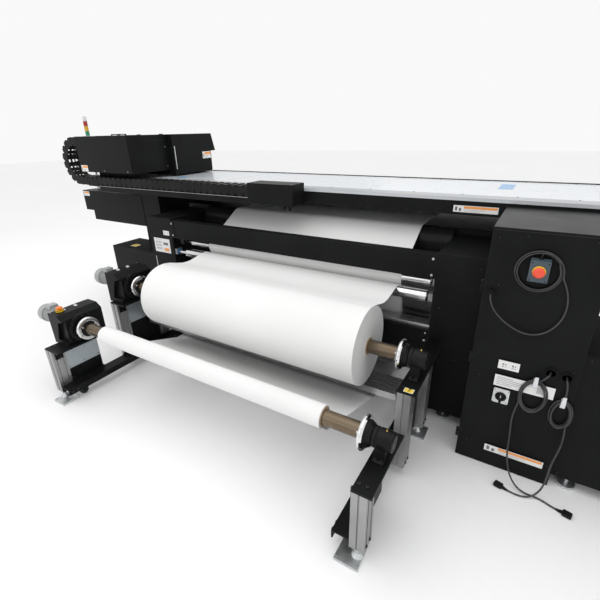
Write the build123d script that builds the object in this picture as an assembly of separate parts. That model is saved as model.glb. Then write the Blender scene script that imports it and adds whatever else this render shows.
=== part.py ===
from build123d import *
import math
import os

# A wide-format roll-to-roll printer, in millimetres. X runs along the machine, -Y is the side
# that the media rolls stand on, +Y is the operator's side and the floor is Z = 0.

# Side columns and crossbars
COLUMN_INNER = 984.0
COLUMN_WIDTH = 255.7
COLUMN_OUTER = COLUMN_INNER + COLUMN_WIDTH
COLUMN_FRONT = -150.0
COLUMN_BACK = 1140.0
COLUMN_TOP = 1013.0
UNDERSIDE = 62.0
SHEET = 3.0
BAR_DEPTH = 60.0
UPPER_BAR = (872.0, 1004.0)
LOWER_BAR = (420.0, 530.0)
SLOT_BEAM = (534.0, 594.0)
SLOT_BEAM_DEPTH = 78.0
UPSTAND_TOP = 572.0
UPSTAND_DEPTH = 20.0
LOW_BEAM = (210.0, 300.0)

# Platen
PLATEN_TOP = 1050.0
PLATEN_FRONT = 210.0
PLATEN_BACK = 1190.0
NOSE_RADIUS = 90.0
NOSE_HALF = COLUMN_INNER - 6.0

# Beam over the platen
BEAM_HALF = 2420.0
DECK = (1233.0, 1250.0)
DECK_FRONT = 150.0
DECK_BACK = 980.0
GIRDER_FRONT = 560.0
GIRDER_BACK = 960.0
GIRDER_BOTTOM = 1090.0
GIRDER_WALL = 8.0
FASCIA_BOTTOM = 1157.0
LEG_X = (1450.0, 1670.0)
RAIL_LEVELS = (1122.0, 1202.0)
RAIL_WIDTH = 23.0
RAIL_DEPTH = 18.0

# Cabinet with the emergency stop, and the other boxes
CABINET_X = (1240.0, 1664.0)
CABINET_FRONT = -367.0
CABINET_TOP = 1220.0
BOX_OUTER = 2550.0
BOX_STEP = 2432.0
SERVICE_BOX = (832.0, 1110.0)
SERVICE_STEP = 921.0
SERVICE_BACK = 540.0
LOW_BOX_TOP = 717.0
LOW_BOX_BACK = 130.0
RIGHT_LOW_FRONT = -350.0
LEFT_LOW_X = (-1770.0, -COLUMN_OUTER)
RIGHT_LOW_X = (CABINET_X[1] + 0.3, 2400.0)

TOWER_SPOT = (-2500.0, 300.0)
POLE_TOP = 1560.0

# Carriage and energy chain
TRAVEL = 3600.0
CARRIAGE_LEFT = -2235.0
FRONT_RIGHT = -1530.0
HOOD_RIGHT = -1468.0
CARRIAGE_TOP = 1600.0
CARRIAGE_BOTTOM = 1307.0
HOOD_BOTTOM = 1262.0
FRONT_BACK = 410.0
HOOD_BACK = 880.0
HOOD_LIP = 942.0
APRON_BACK = 1205.0
APRON_Z = (1072.0, 1225.0)
FRAME_RIGHT = HOOD_RIGHT - 135.0
COVER_SHOULDER = 1556.0
BAND_BACK = 152.0
COVER_ROOM_TOP = 1512.0
LIP_BOTTOM = 1446.0
SLOPE_BACK = 900.0
HEAD_PLATE_Z = (1099.0, 1107.0)
HEAD_TOP = 1200.0
HEAD_PITCH = 95.0
HEAD_SIZE = (60.0, 120.0)
HEAD_COUNT = 6
CHAIN_WIDTH = 130.0
CHAIN_HEIGHT = 74.0
CHAIN_OUTER = 203.0
CHAIN_LOOP_X = -2310.0
CHAIN_FLOOR = 1190.0
CHAIN_Y = (10.0, 10.0 + CHAIN_WIDTH)
CHAIN_END = -340.0
CHAIN_TOW = -1560.0
ANCHOR_RIGHT = 20.0
ANCHOR_Z = (1153.0, 1287.0)
TRAY_LEFT = -2010.0
TRAY_LIP_BOTTOM = 1146.0
MOUTH_Z = (1160.0, 1270.0)

# Stands for the two rolls
POST_X = -1125.0
POST_WIDTH = 65.0
POST_DEPTH = 80.0
STAND_SHIFT = -73.0
RIGHT_PLATE_X = (985.0, 1070.0)
PANEL_BOTTOM = (190.0, 310.0)
WHEEL_RADIUS = 27.0
WHEEL_LEVEL = 33.0
STAND_RAIL = 80.0
STAND_RAIL_Z = (62.0, 104.0)
FRONT_POST_Y = -1165.0
MIDDLE_POST_Y = -671.0
REAR_POST_Y = -340.0
REAR_PLATE_END = -170.0
WHEEL_X = POST_X + POST_WIDTH + STAND_RAIL / 2
WHEEL_AXIS = (FRONT_POST_Y + POST_DEPTH + 32.0, WHEEL_LEVEL)
FRONT_PLATE_Z = 365.0
REAR_PLATE_Z = 495.0
PLATE_THICK = 10.0
FRONT_PLATE_END = -790.0
CROSS_BEAM_Y = (-430.0, -276.0)
CROSS_BEAM_Z = (256.0, 296.0)

# Rolls, shafts and rollers: each axis is (Y, Z)
TAKEUP_AXIS = (-957.0, 470.0)
UNWIND_AXIS = (-527.0, 609.0)
SHAFT_RADIUS = 35.0
CORE_RADIUS = 38.0
CORE_WALL = 6.0
TAKEUP_RADIUS = 52.0
UNWIND_RADIUS = 205.0
TAKEUP_X = (-770.0, 765.0)
UNWIND_X = (-680.0, 786.0)
RING_RADIUS = 77.0
RING_BORE = 48.0
RING_WIDTH = 24.0
RING_X = (-960.0, 940.0)
SILVER_AXIS = (-118.0, 760.0)
GREY_AXIS = (-46.0, 824.0)
DANCER_AXIS = (98.0, 250.0)
LOW_AXIS = (102.0, 82.0)
GUIDE_AXIS = (1080.0, 92.0)
ROLLER_RADIUS = 33.0
GUIDE_RADIUS = 30.0
JOURNAL_RADIUS = 12.5
ROLLER_X = (-860.0, 948.0)
BRACKET = 24.0

# Media
WEB_THICK = 1.0
WEB_GAP = 0.3

# The door's hinge line (X, Y), its controls as (X, Z), and the stop button as (X, Y)
DOOR_HINGE = (CABINET_X[0] - 7.0, CABINET_FRONT - 3.0)
ESTOP = (1432.0, 1070.0)
ESTOP_SIZE = (71.0, 87.0)
ESTOP_DEPTH = 50.0
BUTTON_TRAVEL = 6.0
COLLAR_RADIUS = 24.0
HINGE_LEVELS = (150.0, 600.0, 960.0)
KNUCKLE = 26.0
SWITCH = (1394.0, 435.0)
GLAND = (1275.0, 938.0)
HOLES = ((1562.0, 612.0), (1622.0, 606.0))
STOP_SPOT = (POST_X + 6.0, TAKEUP_AXIS[0] - 60.0)

# Running clearances
SHAFT_CLEARANCE = 0.05
SOFT_GAP = 0.3
SEAT_GAP = 0.3

# Free cords
CORD_DIAMETER = 7.0
DATA_DIAMETER = 8.0
ESTOP_COIL = (1432.0, 1056.0)
ESTOP_COIL_RADII = (81.0, 81.0)
ESTOP_ROUTE = [
    (1275, -381, 938), (1275, -405, 938), (1279, -420, 921), (1288, -424, 896), (1303, -416, 868),
    (1328, -404, 838), (1358, -394, 811), (1394, -388, 789), (1435, -384, 776), (1475, -383, 781),
    (1511, -382, 804), (1538, -381, 841), (1553, -380, 884), (1556, -380, 930), (1549, -380, 975),
    (1534, -380, 1014), (1519, -379, 1042),
]
COIL_1 = (1517.0, 478.0)
COIL_1_RADII = (52.0, 80.0)
DATA_1_TOP = [(1562, -366, 612), (1560, -386, 609), (1549, -399, 599), (1537, -399, 582), (1527, -388, 565)]
DATA_1_TAIL = [
    (1469, -384, 437), (1461, -392, 396), (1456, -400, 347), (1461, -401, 292), (1466, -400, 235),
    (1468, -404, 180), (1475, -416, 128), (1488, -434, 82), (1508, -452, 44), (1538, -466, 16),
    (1574, -474, 6), (1612, -472, 5), (1648, -478, 6), (1682, -492, 5), (1716, -500, 5),
]
COIL_2 = (1634.0, 424.0)
COIL_2_RADII = (38.0, 70.0)
DATA_2_TOP = [(1622, -366, 606), (1623, -386, 603), (1627, -399, 590), (1631, -401, 568), (1633, -396, 544),
              (1634, -389, 520), (1636, -385, 498)]
DATA_2_TAIL = [
    (1662, -384, 372), (1667, -394, 328), (1664, -412, 278), (1656, -418, 226), (1648, -424, 172),
    (1646, -434, 120), (1642, -448, 74), (1628, -466, 36), (1602, -486, 10), (1566, -500, 5),
    (1526, -502, 6), (1492, -492, 5),
]
COIL_Y = (CABINET_FRONT - 26 - SOFT_GAP, CABINET_FRONT - SOFT_GAP)
ESTOP_COIL_Y = (CABINET_FRONT - 20 - SOFT_GAP, CABINET_FRONT - SOFT_GAP)


def block(x, y, z):
    """A box between three (low, high) pairs."""
    size = [high - low for low, high in (x, y, z)]
    middle = [(high + low) / 2 for low, high in (x, y, z)]
    return Pos(*middle) * Box(*size)


def bar_x(x, axis, radius):
    """A round bar along X about the axis (Y, Z)."""
    return Pos((x[0] + x[1]) / 2, *axis) * Rot(0, 90, 0) * Cylinder(radius, x[1] - x[0])


def bar_y(centre, y, radius):
    """A round bar along Y about the centre (X, Z)."""
    return Pos(centre[0], (y[0] + y[1]) / 2, centre[1]) * Rot(90, 0, 0) * Cylinder(radius, y[1] - y[0])


def bar_z(centre, z, radius):
    """A round bar along Z about the centre (X, Y)."""
    return Pos(*centre, (z[0] + z[1]) / 2) * Cylinder(radius, z[1] - z[0])


def tube_x(x, axis, radius, bore):
    """A tube along X."""
    return bar_x(x, axis, radius) - bar_x(x, axis, bore)


def slab_x(points, x):
    """An outline of (Y, Z) points drawn out along X."""
    return extrude(Plane.YZ.offset(x[0]) * Polygon(*points, align=None), amount=x[1] - x[0], dir=(1, 0, 0))


def slab_y(points, y):
    """An outline of (X, Z) points drawn out along Y."""
    plane = Plane(origin=(0, y[0], 0), x_dir=(1, 0, 0), z_dir=(0, -1, 0))
    return extrude(plane * Polygon(*points, align=None), amount=y[1] - y[0], dir=(0, 1, 0))


def mirrored(part):
    """The part and its mirror image across the machine's middle."""
    return [part, mirror(part, about=Plane.YZ)]


def tray_shell(x, y, z, wall, open_side=None):
    """A sheet box with its "front" or "bottom" left off, or closed but for a cable hole below."""
    inner_y = (y[0] - 1 if open_side == "front" else y[0] + wall, y[1] - wall)
    inner_z = (z[0] - 1 if open_side == "bottom" else z[0] + wall, z[1] - wall)
    box = block(x, y, z) - block((x[0] + wall, x[1] - wall), inner_y, inner_z)
    if open_side is None:
        box -= bar_z(((x[0] + x[1]) / 2, (y[0] + y[1]) / 2), (z[0] - 1, z[0] + wall + 1), 20)
    return box


# ---------------------------------------------------------------- main frame


def side_columns():
    """The welded sheet columns that carry the platen and the rollers."""
    column = tray_shell(
        (COLUMN_INNER, COLUMN_OUTER), (COLUMN_FRONT, COLUMN_BACK), (UNDERSIDE, COLUMN_TOP), SHEET
    )
    return mirrored(column)


def crossbar(z, depth):
    """A bar between the columns, flush with their fronts."""
    return block((-COLUMN_INNER, COLUMN_INNER), (COLUMN_FRONT, COLUMN_FRONT + depth), z)


def crossbar_tube(z):
    """A hollow black crossbar."""
    outer = crossbar(z, BAR_DEPTH)
    inner = block(
        (-COLUMN_INNER - 1, COLUMN_INNER + 1),
        (COLUMN_FRONT + SHEET, COLUMN_FRONT + BAR_DEPTH - SHEET),
        (z[0] + SHEET, z[1] - SHEET),
    )
    return outer - inner


def beam_upstand():
    """The black plate that stands on the lower crossbar, in front of the slotted beam."""
    return crossbar((LOWER_BAR[1], UPSTAND_TOP), UPSTAND_DEPTH)


def slotted(beam, x, faces_z, slots_y, slot=8.0, deep=9.0):
    """Cuts T-slot mouths along X into a beam's top and bottom faces."""
    for y in slots_y:
        for z in faces_z:
            beam -= block((x[0] - 1, x[1] + 1), (y - slot / 2, y + slot / 2), (z - deep, z + deep))
    return beam


def aluminium_beams():
    """The slotted aluminium extrusions across the machine's media side."""
    x = (-COLUMN_INNER, COLUMN_INNER)
    front = COLUMN_FRONT + UPSTAND_DEPTH
    upper = block(x, (front, front + SLOT_BEAM_DEPTH), SLOT_BEAM)
    upper = slotted(upper, x, SLOT_BEAM, [front + share * SLOT_BEAM_DEPTH for share in (0.2, 0.5, 0.8)])
    lower = crossbar(LOW_BEAM, BAR_DEPTH)
    lower = slotted(lower, x, LOW_BEAM, [COLUMN_FRONT + 30])
    return [upper, lower]


def levelling_feet():
    """Round feet under the columns, the beam legs and the low boxes."""
    spots = []
    for side in (-1, 1):
        middle = side * (COLUMN_INNER + COLUMN_OUTER) / 2
        spots += [(middle, COLUMN_FRONT + 60), (middle, COLUMN_BACK - 60)]
        leg = side * (LEG_X[0] + LEG_X[1]) / 2
        spots += [(leg, DECK_FRONT + 60), (leg, GIRDER_BACK - 60)]
    spots += [(-1700.0, COLUMN_FRONT + 40), (1740.0, -310.0), (2330.0, -310.0), (2330.0, 100.0)]
    feet = []
    for spot in spots:
        feet.append(bar_z(spot, (0, 14), 38) + bar_z(spot, (14, UNDERSIDE), 10))
    return feet


def platen():
    """The vacuum table, with rounded noses that the media runs over."""
    nose_z = PLATEN_TOP - NOSE_RADIUS
    middle = (PLATEN_FRONT + NOSE_RADIUS, PLATEN_BACK - NOSE_RADIUS)
    x = (-NOSE_HALF, NOSE_HALF)
    core = block(x, middle, (nose_z - 30, PLATEN_TOP))
    for y in middle:
        core += bar_x(x, (y, nose_z), NOSE_RADIUS)
    core -= block((x[0] + 20, x[1] - 20), (middle[0], middle[1]), (nose_z - 31, PLATEN_TOP - 40))
    wing = block((-COLUMN_OUTER, COLUMN_OUTER), middle, (COLUMN_TOP, PLATEN_TOP))
    return core + wing


# ---------------------------------------------------------------- beam


def beam_girder():
    """The closed steel girder that carries the carriage's rails."""
    x = (-BEAM_HALF, BEAM_HALF)
    outer = block(x, (GIRDER_FRONT, GIRDER_BACK), (GIRDER_BOTTOM, DECK[0]))
    inner = block(
        (x[0] - 1, x[1] + 1),
        (GIRDER_FRONT + GIRDER_WALL, GIRDER_BACK - GIRDER_WALL),
        (GIRDER_BOTTOM + GIRDER_WALL, DECK[0] - GIRDER_WALL),
    )
    return outer - inner


def beam_deck():
    """The pale cover plate on top of the beam."""
    return tray_shell((-BEAM_HALF, BEAM_HALF), (DECK_FRONT, DECK_BACK), DECK, SHEET, "bottom")


def front_fascia():
    """The folded black cover along the beam's media side."""
    x = (-BEAM_HALF, BEAM_HALF)
    face = block(x, (DECK_FRONT, DECK_FRONT + SHEET), (FASCIA_BOTTOM, DECK[0]))
    floor = block(x, (DECK_FRONT, DECK_FRONT + 110), (FASCIA_BOTTOM, FASCIA_BOTTOM + SHEET))
    back = block(x, (DECK_FRONT + 110 - SHEET, DECK_FRONT + 110), (FASCIA_BOTTOM, DECK[0]))
    return face + floor + back


def beam_legs():
    """The two legs that stand outside the columns and hold the beam."""
    wall = 5.0
    front = DECK_FRONT + SHEET
    low = block(LEG_X, (front, GIRDER_BACK), (UNDERSIDE, GIRDER_BOTTOM))
    high = block(LEG_X, (front, GIRDER_FRONT), (UNDERSIDE, FASCIA_BOTTOM))
    inner_x = (LEG_X[0] + wall, LEG_X[1] - wall)
    low_room = block(inner_x, (front + wall, GIRDER_BACK - wall), (UNDERSIDE + wall, GIRDER_BOTTOM - wall))
    high_room = block(inner_x, (front + wall, GIRDER_FRONT - wall), (UNDERSIDE + wall, FASCIA_BOTTOM - wall))
    cable_hole = bar_z((sum(LEG_X) / 2, GIRDER_FRONT), (UNDERSIDE - 1, UNDERSIDE + wall + 1), 30)
    return mirrored(low + high - low_room - high_room - cable_hole)


def linear_rails():
    """The two profile rails on the girder's operator side."""
    rails = []
    for level in RAIL_LEVELS:
        z = (level - RAIL_WIDTH / 2, level + RAIL_WIDTH / 2)
        rails.append(block((-BEAM_HALF + 10, BEAM_HALF - 10), (GIRDER_BACK, GIRDER_BACK + RAIL_DEPTH), z))
    return rails


def chain_tray():
    """The trough that the chain's lower run lies in."""
    x = (TRAY_LEFT, CHAIN_END)
    floor = block(x, (0, DECK_FRONT), (CHAIN_FLOOR - SHEET, CHAIN_FLOOR))
    lip = block(x, (0, SHEET), (TRAY_LIP_BOTTOM, CHAIN_FLOOR))
    back = block(x, (DECK_FRONT - SHEET, DECK_FRONT), (FASCIA_BOTTOM, CHAIN_FLOOR + 14))
    return floor + lip + back


def chain_anchor_box():
    """The box at mid beam that the chain's fixed end goes into."""
    box = tray_shell((CHAIN_END, ANCHOR_RIGHT), (0, DECK_FRONT), ANCHOR_Z, SHEET, "bottom")
    mouth = block((CHAIN_END - 1, CHAIN_END + SHEET + 1), (CHAIN_Y[0] - 2, CHAIN_Y[1] + 2), MOUTH_Z)
    return box - mouth


# ---------------------------------------------------------------- boxes


def side_boxes():
    """The stepped service boxes under the beam's ends and the low boxes beside the columns."""
    step = [
        (LEG_X[1], SERVICE_BOX[0]),
        (BOX_STEP, SERVICE_BOX[0]),
        (BOX_STEP, SERVICE_STEP),
        (BOX_OUTER, SERVICE_STEP),
        (BOX_OUTER, SERVICE_BOX[1]),
        (LEG_X[1], SERVICE_BOX[1]),
    ]
    service = slab_y(step, (DECK_FRONT, SERVICE_BACK))
    room = [
        (LEG_X[1] + SHEET, SERVICE_BOX[0] + SHEET),
        (BOX_STEP - SHEET, SERVICE_BOX[0] + SHEET),
        (BOX_STEP - SHEET, SERVICE_STEP + SHEET),
        (BOX_OUTER - SHEET, SERVICE_STEP + SHEET),
        (BOX_OUTER - SHEET, SERVICE_BOX[1] - SHEET),
        (LEG_X[1] + SHEET, SERVICE_BOX[1] - SHEET),
    ]
    service -= slab_y(room, (DECK_FRONT + SHEET, SERVICE_BACK + 1))
    left_low = tray_shell(LEFT_LOW_X, (COLUMN_FRONT, LOW_BOX_BACK), (UNDERSIDE, LOW_BOX_TOP), SHEET)
    right_low = tray_shell(RIGHT_LOW_X, (RIGHT_LOW_FRONT, LOW_BOX_BACK), (UNDERSIDE, LOW_BOX_TOP), SHEET)
    return mirrored(service) + [left_low, right_low]


def cabinet_shell():
    """The electrical cabinet's sheet body, open at the front for its door."""
    y = (CABINET_FRONT + SHEET, DECK_FRONT - SEAT_GAP)
    return tray_shell(CABINET_X, y, (0, CABINET_TOP), SHEET, "front")


def control_units():
    """The mounting plate inside the cabinet, with its drives and power supplies."""
    back = DECK_FRONT - SEAT_GAP - SHEET
    plate = block((CABINET_X[0] + 25, CABINET_X[1] - 25), (back - 8, back), (90.0, 1150.0))
    units = [plate]
    for row, level in enumerate((160.0, 480.0, 800.0)):
        for column in range(3):
            x = CABINET_X[0] + 45 + column * 115
            height = 240.0 - 40 * ((row + column) % 2)
            units.append(block((x, x + 95), (back - 158, back - 8), (level, level + height)))
    return units


def tower_light():
    """A signal tower on the left service box: foot, pole, coloured lenses and cap."""
    base = SERVICE_BOX[1]
    pieces = [bar_z(TOWER_SPOT, (base, base + 12), 35) + bar_z(TOWER_SPOT, (base + 12, POLE_TOP), 11)]
    level = POLE_TOP
    for height in (43.0, 43.0, 43.0, 43.0, 48.0):
        pieces.append(bar_z(TOWER_SPOT, (level, level + height), 19))
        level += height
    return pieces


# ---------------------------------------------------------------- roll stands


def both_stands(part):
    """A part of the left stand, and its mirror image in the right stand."""
    return [part, Pos(STAND_SHIFT, 0, 0) * mirror(part, about=Plane.YZ)]


def stand_post(front, top):
    """A slotted aluminium post: one slot in front and back, two in each side."""
    x = (POST_X, POST_X + POST_WIDTH)
    y = (front, front + POST_DEPTH)
    z = (STAND_RAIL_Z[0], top)
    post = block(x, y, z)
    deep = 7.0
    for face in y:
        middle = (x[0] + x[1]) / 2
        post -= block((middle - 4, middle + 4), (face - deep, face + deep), (z[0] - 1, z[1] + 1))
    for face in x:
        for share in (0.25, 0.75):
            slot = y[0] + share * POST_DEPTH
            post -= block((face - deep, face + deep), (slot - 4, slot + 4), (z[0] - 1, z[1] + 1))
    return post


def stand_posts():
    """Three posts in each stand."""
    posts = []
    fronts = (FRONT_POST_Y, MIDDLE_POST_Y, REAR_POST_Y)
    for front, top in zip(fronts, (FRONT_PLATE_Z, REAR_PLATE_Z, REAR_PLATE_Z)):
        posts += both_stands(stand_post(front, top))
    return posts


def stand_plates():
    """The black plates that the bearings and motor housings stand on."""
    plates = []
    for x in ((POST_X, POST_X + POST_WIDTH + STAND_RAIL), RIGHT_PLATE_X):
        plates.append(block(x, (FRONT_POST_Y, FRONT_PLATE_END), (FRONT_PLATE_Z, FRONT_PLATE_Z + PLATE_THICK)))
        plates.append(block(x, (MIDDLE_POST_Y, REAR_PLATE_END), (REAR_PLATE_Z, REAR_PLATE_Z + PLATE_THICK)))
    return plates


def stand_rails():
    """The black channel along the foot of each stand, bolted to the posts."""
    x = (POST_X + POST_WIDTH, POST_X + POST_WIDTH + STAND_RAIL)
    y = (FRONT_POST_Y, REAR_PLATE_END)
    rail = block(x, y, STAND_RAIL_Z)
    rail -= block((x[0] + 6, x[1] - 6), (y[0] - 1, y[1] + 1), (STAND_RAIL_Z[0] - 1, STAND_RAIL_Z[1] - 6))
    return both_stands(rail)


def panel_spans():
    """The X of the panels, and the Y and the lowest Z of the front one and of the rear one."""
    x = (POST_X + 44.0, POST_X + 48.0)
    front = (FRONT_POST_Y + POST_DEPTH, FRONT_PLATE_END - 66.0)
    rear = (MIDDLE_POST_Y + POST_DEPTH, REAR_POST_Y)
    return x, (front, rear)


def stand_panels():
    """The galvanised sheets set between the posts."""
    x, spans = panel_spans()
    panels = []
    for y, bottom, top in zip(spans, PANEL_BOTTOM, (FRONT_PLATE_Z, REAR_PLATE_Z)):
        panels += both_stands(block(x, y, (bottom, top)))
    return panels


def stand_skirts():
    """The black sheets between the galvanised ones and the rail."""
    x, spans = panel_spans()
    skirts = []
    for y, top in zip(spans, PANEL_BOTTOM):
        sheet = block(x, y, (STAND_RAIL_Z[0] + 10, top))
        foot = block((x[0], POST_X + POST_WIDTH + 20), y, (STAND_RAIL_Z[1], STAND_RAIL_Z[1] + SHEET))
        skirts += both_stands(sheet + foot)
    return skirts


def stand_feet():
    """Square foot plates on threaded stems, under the end posts."""
    feet = []
    for front in (FRONT_POST_Y, REAR_POST_Y):
        centre = (POST_X + POST_WIDTH - 3, front + 22)
        if front == REAR_POST_Y:
            centre = (POST_X + POST_WIDTH / 2, front + POST_DEPTH / 2)
        pad = block((centre[0] - 52, centre[0] + 52), (centre[1] - 62, centre[1] + 42), (0, 12))
        stem = bar_z((POST_X + POST_WIDTH / 2, centre[1]), (12, STAND_RAIL_Z[0]), 12)
        feet += both_stands(pad + stem)
    return feet


def stand_wheel():
    """The left stand's transport wheel, behind the front foot."""
    return tube_x((WHEEL_X - 13, WHEEL_X + 13), WHEEL_AXIS, WHEEL_RADIUS, 6.0 + SHAFT_CLEARANCE)


def wheel_forks():
    """The forks and axles that hold the transport wheels under the rails."""
    y = (WHEEL_AXIS[0] - 14, WHEEL_AXIS[0] + 14)
    fork = block((WHEEL_X - 20, WHEEL_X + 20), y, (STAND_RAIL_Z[1] - 12, STAND_RAIL_Z[1] - 6))
    for cheek in (WHEEL_X - 20, WHEEL_X + 15):
        fork += block((cheek, cheek + 5), y, (WHEEL_LEVEL - 7, STAND_RAIL_Z[1] - 6))
    fork += bar_x((WHEEL_X - 20, WHEEL_X + 20), WHEEL_AXIS, 6.0)
    return both_stands(fork)


def stand_cross_beam():
    """The wide ribbed extrusion that ties the two stands together."""
    x = (POST_X + POST_WIDTH, STAND_SHIFT - POST_X - POST_WIDTH)
    beam = block(x, CROSS_BEAM_Y, CROSS_BEAM_Z)
    ribs = 6
    pitch = (CROSS_BEAM_Y[1] - CROSS_BEAM_Y[0]) / ribs
    slots = [CROSS_BEAM_Y[0] + pitch * (n + 0.5) for n in range(ribs)]
    return slotted(beam, x, CROSS_BEAM_Z, slots)


# ---------------------------------------------------------------- shafts, housings and rolls


def motor_housing(axis, floor):
    """The angled black housing at a shaft's driven end."""
    y, z = axis
    x = (POST_X - 25, POST_X + 115)
    top = z + 108
    body = block(x, (y - 122, y + 148), (floor, top))
    step = [
        (x[0] + 50, floor + 30),
        (x[1] + 1, floor + 30),
        (x[1] + 1, z + 75),
        (x[0] + 95, z + 60),
        (x[0] + 75, z + 5),
        (x[0] + 62, z - 30),
    ]
    body -= slab_y(step, (y - 123, y - 100))
    slope = slab_y([(x[1] - 45, top + 1), (x[1] + 1, top + 1), (x[1] + 1, top - 30)], (y - 123, y + 149))
    flange = bar_x((x[1], x[1] + 16), axis, 92)
    return body - slope + flange - bar_x((x[0] - 1, x[1] + 17), axis, SHAFT_RADIUS - 10 + SHAFT_CLEARANCE)


def motor_housings():
    """One housing for each shaft."""
    return [
        motor_housing(TAKEUP_AXIS, FRONT_PLATE_Z + PLATE_THICK),
        motor_housing(UNWIND_AXIS, REAR_PLATE_Z + PLATE_THICK),
    ]


def gear_motor(axis, reach):
    """A flanged gear head with its motor and fan cover."""
    x = POST_X - 25
    head = block((x - 90, x), (axis[0] - 58, axis[0] + 58), (axis[1] - 52, axis[1] + 64))
    motor = bar_x((x - 90 - reach, x - 90), (axis[0], axis[1] + 6), 56)
    cover = bar_x((x - 90 - reach - 60, x - 90 - reach), (axis[0], axis[1] + 6), 60)
    bore = bar_x((x - 60, x + 1), axis, SHAFT_RADIUS - 10 + SHAFT_CLEARANCE)
    return head + motor + cover - bore


def gear_motors():
    """One gear motor for each shaft."""
    return [gear_motor(TAKEUP_AXIS, 150.0), gear_motor(UNWIND_AXIS, 110.0)]


def pillow_block(axis, floor):
    """The bearing at a shaft's free end: a barrel on a foot."""
    x = (RING_X[1] + RING_WIDTH + 26, RING_X[1] + RING_WIDTH + 112)
    foot = block((x[0] + 8, x[1] - 22), (axis[0] - 50, axis[0] + 50), (floor, floor + 16))
    neck = block((x[0] + 18, x[1] - 32), (axis[0] - 28, axis[0] + 28), (floor + 16, axis[1]))
    barrel = bar_x(x, axis, 44)
    return foot + neck + barrel - bar_x((x[0] - 1, x[1] - 8), axis, SHAFT_RADIUS - 10 + SHAFT_CLEARANCE)


def pillow_blocks():
    """One bearing for each shaft."""
    return [
        pillow_block(TAKEUP_AXIS, FRONT_PLATE_Z + PLATE_THICK),
        pillow_block(UNWIND_AXIS, REAR_PLATE_Z + PLATE_THICK),
    ]


def shaft(axis):
    """An expanding shaft with its stub ends and its two chuck rings."""
    left = RING_X[0]
    right = RING_X[1] + RING_WIDTH
    body = bar_x((left, right), axis, SHAFT_RADIUS)
    stubs = bar_x((POST_X - 25 - 55, right + 26 + 86 - 9), axis, SHAFT_RADIUS - 10)
    return body + stubs


def chucks(axis):
    """Both chucks of one shaft: a hub and a ring on each side."""
    left = tube_x((RING_X[0], RING_X[0] + RING_WIDTH), axis, RING_RADIUS, SHAFT_RADIUS)
    right = tube_x((RING_X[1], RING_X[1] + RING_WIDTH), axis, RING_RADIUS, SHAFT_RADIUS)
    return [left, right]


def roll(axis, x, radius):
    """A card core and the media wound on it."""
    core = tube_x((x[0] - 2, x[1] + 2), axis, CORE_RADIUS + CORE_WALL, SHAFT_RADIUS)
    return [core, tube_x(x, axis, radius, CORE_RADIUS + CORE_WALL)]


def roller(axis):
    """A roller with its journals."""
    journals = bar_x((-COLUMN_INNER + 2, COLUMN_INNER - 2), axis, JOURNAL_RADIUS)
    ends = (ROLLER_X[0] + 12, ROLLER_X[1] - 12)
    hollow = tube_x(ends, axis, ROLLER_RADIUS - 5, JOURNAL_RADIUS)
    return bar_x(ROLLER_X, axis, ROLLER_RADIUS) + journals - hollow


def roller_bracket(axis):
    """A bearing block on a column's inner face."""
    x = (COLUMN_INNER - BRACKET, COLUMN_INNER)
    body = block(x, (axis[0] - 26, axis[0] + 26), (axis[1] - 19, axis[1] + 24))
    body = body - bar_x((x[0] - 1, x[1] - 1), axis, JOURNAL_RADIUS + SHAFT_CLEARANCE)
    return mirrored(body)


def roller_brackets():
    """The bearing blocks of the four rollers, and the fixed guide bar under the platen's back."""
    blocks = []
    for axis in (SILVER_AXIS, GREY_AXIS, DANCER_AXIS, LOW_AXIS):
        blocks += roller_bracket(axis)
    blocks.append(bar_x((-COLUMN_INNER, COLUMN_INNER), GUIDE_AXIS, GUIDE_RADIUS))
    return blocks


# ---------------------------------------------------------------- media


def tangent(first, second):
    """The straight between two stations (Y, Z, radius, side); side is +1 left of the travel."""
    (y0, z0, r0, s0), (y1, z1, r1, s1) = first, second
    length = math.hypot(y1 - y0, z1 - z0)
    along = ((y1 - y0) / length, (z1 - z0) / length)
    across = (-along[1], along[0])
    lean = (s0 * r0 - s1 * r1) / length
    rise = math.sqrt(1 - lean**2)
    normal = [lean * along[n] + rise * across[n] for n in (0, 1)]
    start = (y0 + s0 * r0 * normal[0], z0 + s0 * r0 * normal[1])
    end = (y1 + s1 * r1 * normal[0], z1 + s1 * r1 * normal[1])
    return start, end, normal


def flat_span(start, end, normal, x):
    """A flat stretch of the media."""
    half = WEB_THICK / 2
    corners = []
    for point, sign in ((start, 1), (end, 1), (end, -1), (start, -1)):
        corners.append((point[0] + sign * half * normal[0], point[1] + sign * half * normal[1]))
    return slab_x(corners, x)


def curved_span(station, start, end, x):
    """The stretch of the media that lies round a roller or nose."""
    y, z, radius, side = station
    first = math.degrees(math.atan2(start[1] - z, start[0] - y))
    last = math.degrees(math.atan2(end[1] - z, end[0] - y))
    turn = (first - last) % 360 if side > 0 else (last - first) % 360
    low = last if side > 0 else first
    half = WEB_THICK / 2
    outer = CenterArc((y, z), radius + half, low, turn)
    inner = CenterArc((y, z), radius - half, low, turn)
    edges = outer + inner + Line(outer @ 0, inner @ 0) + Line(outer @ 1, inner @ 1)
    return extrude(Plane.YZ.offset(x[0]) * make_face(edges), amount=x[1] - x[0], dir=(1, 0, 0))


def web(stations, x):
    """The media's path round a list of stations, as flat and curved stretches."""
    path = []
    for y, z, radius, side in stations:
        path.append((y, z, radius + WEB_GAP + WEB_THICK / 2, side))
    spans = [tangent(a, b) for a, b in zip(path, path[1:])]
    pieces = [flat_span(start, end, normal, x) for start, end, normal in spans]
    for station, before, after in zip(path[1:], spans, spans[1:]):
        pieces.append(curved_span(station, before[1], after[0], x))
    return pieces


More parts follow.
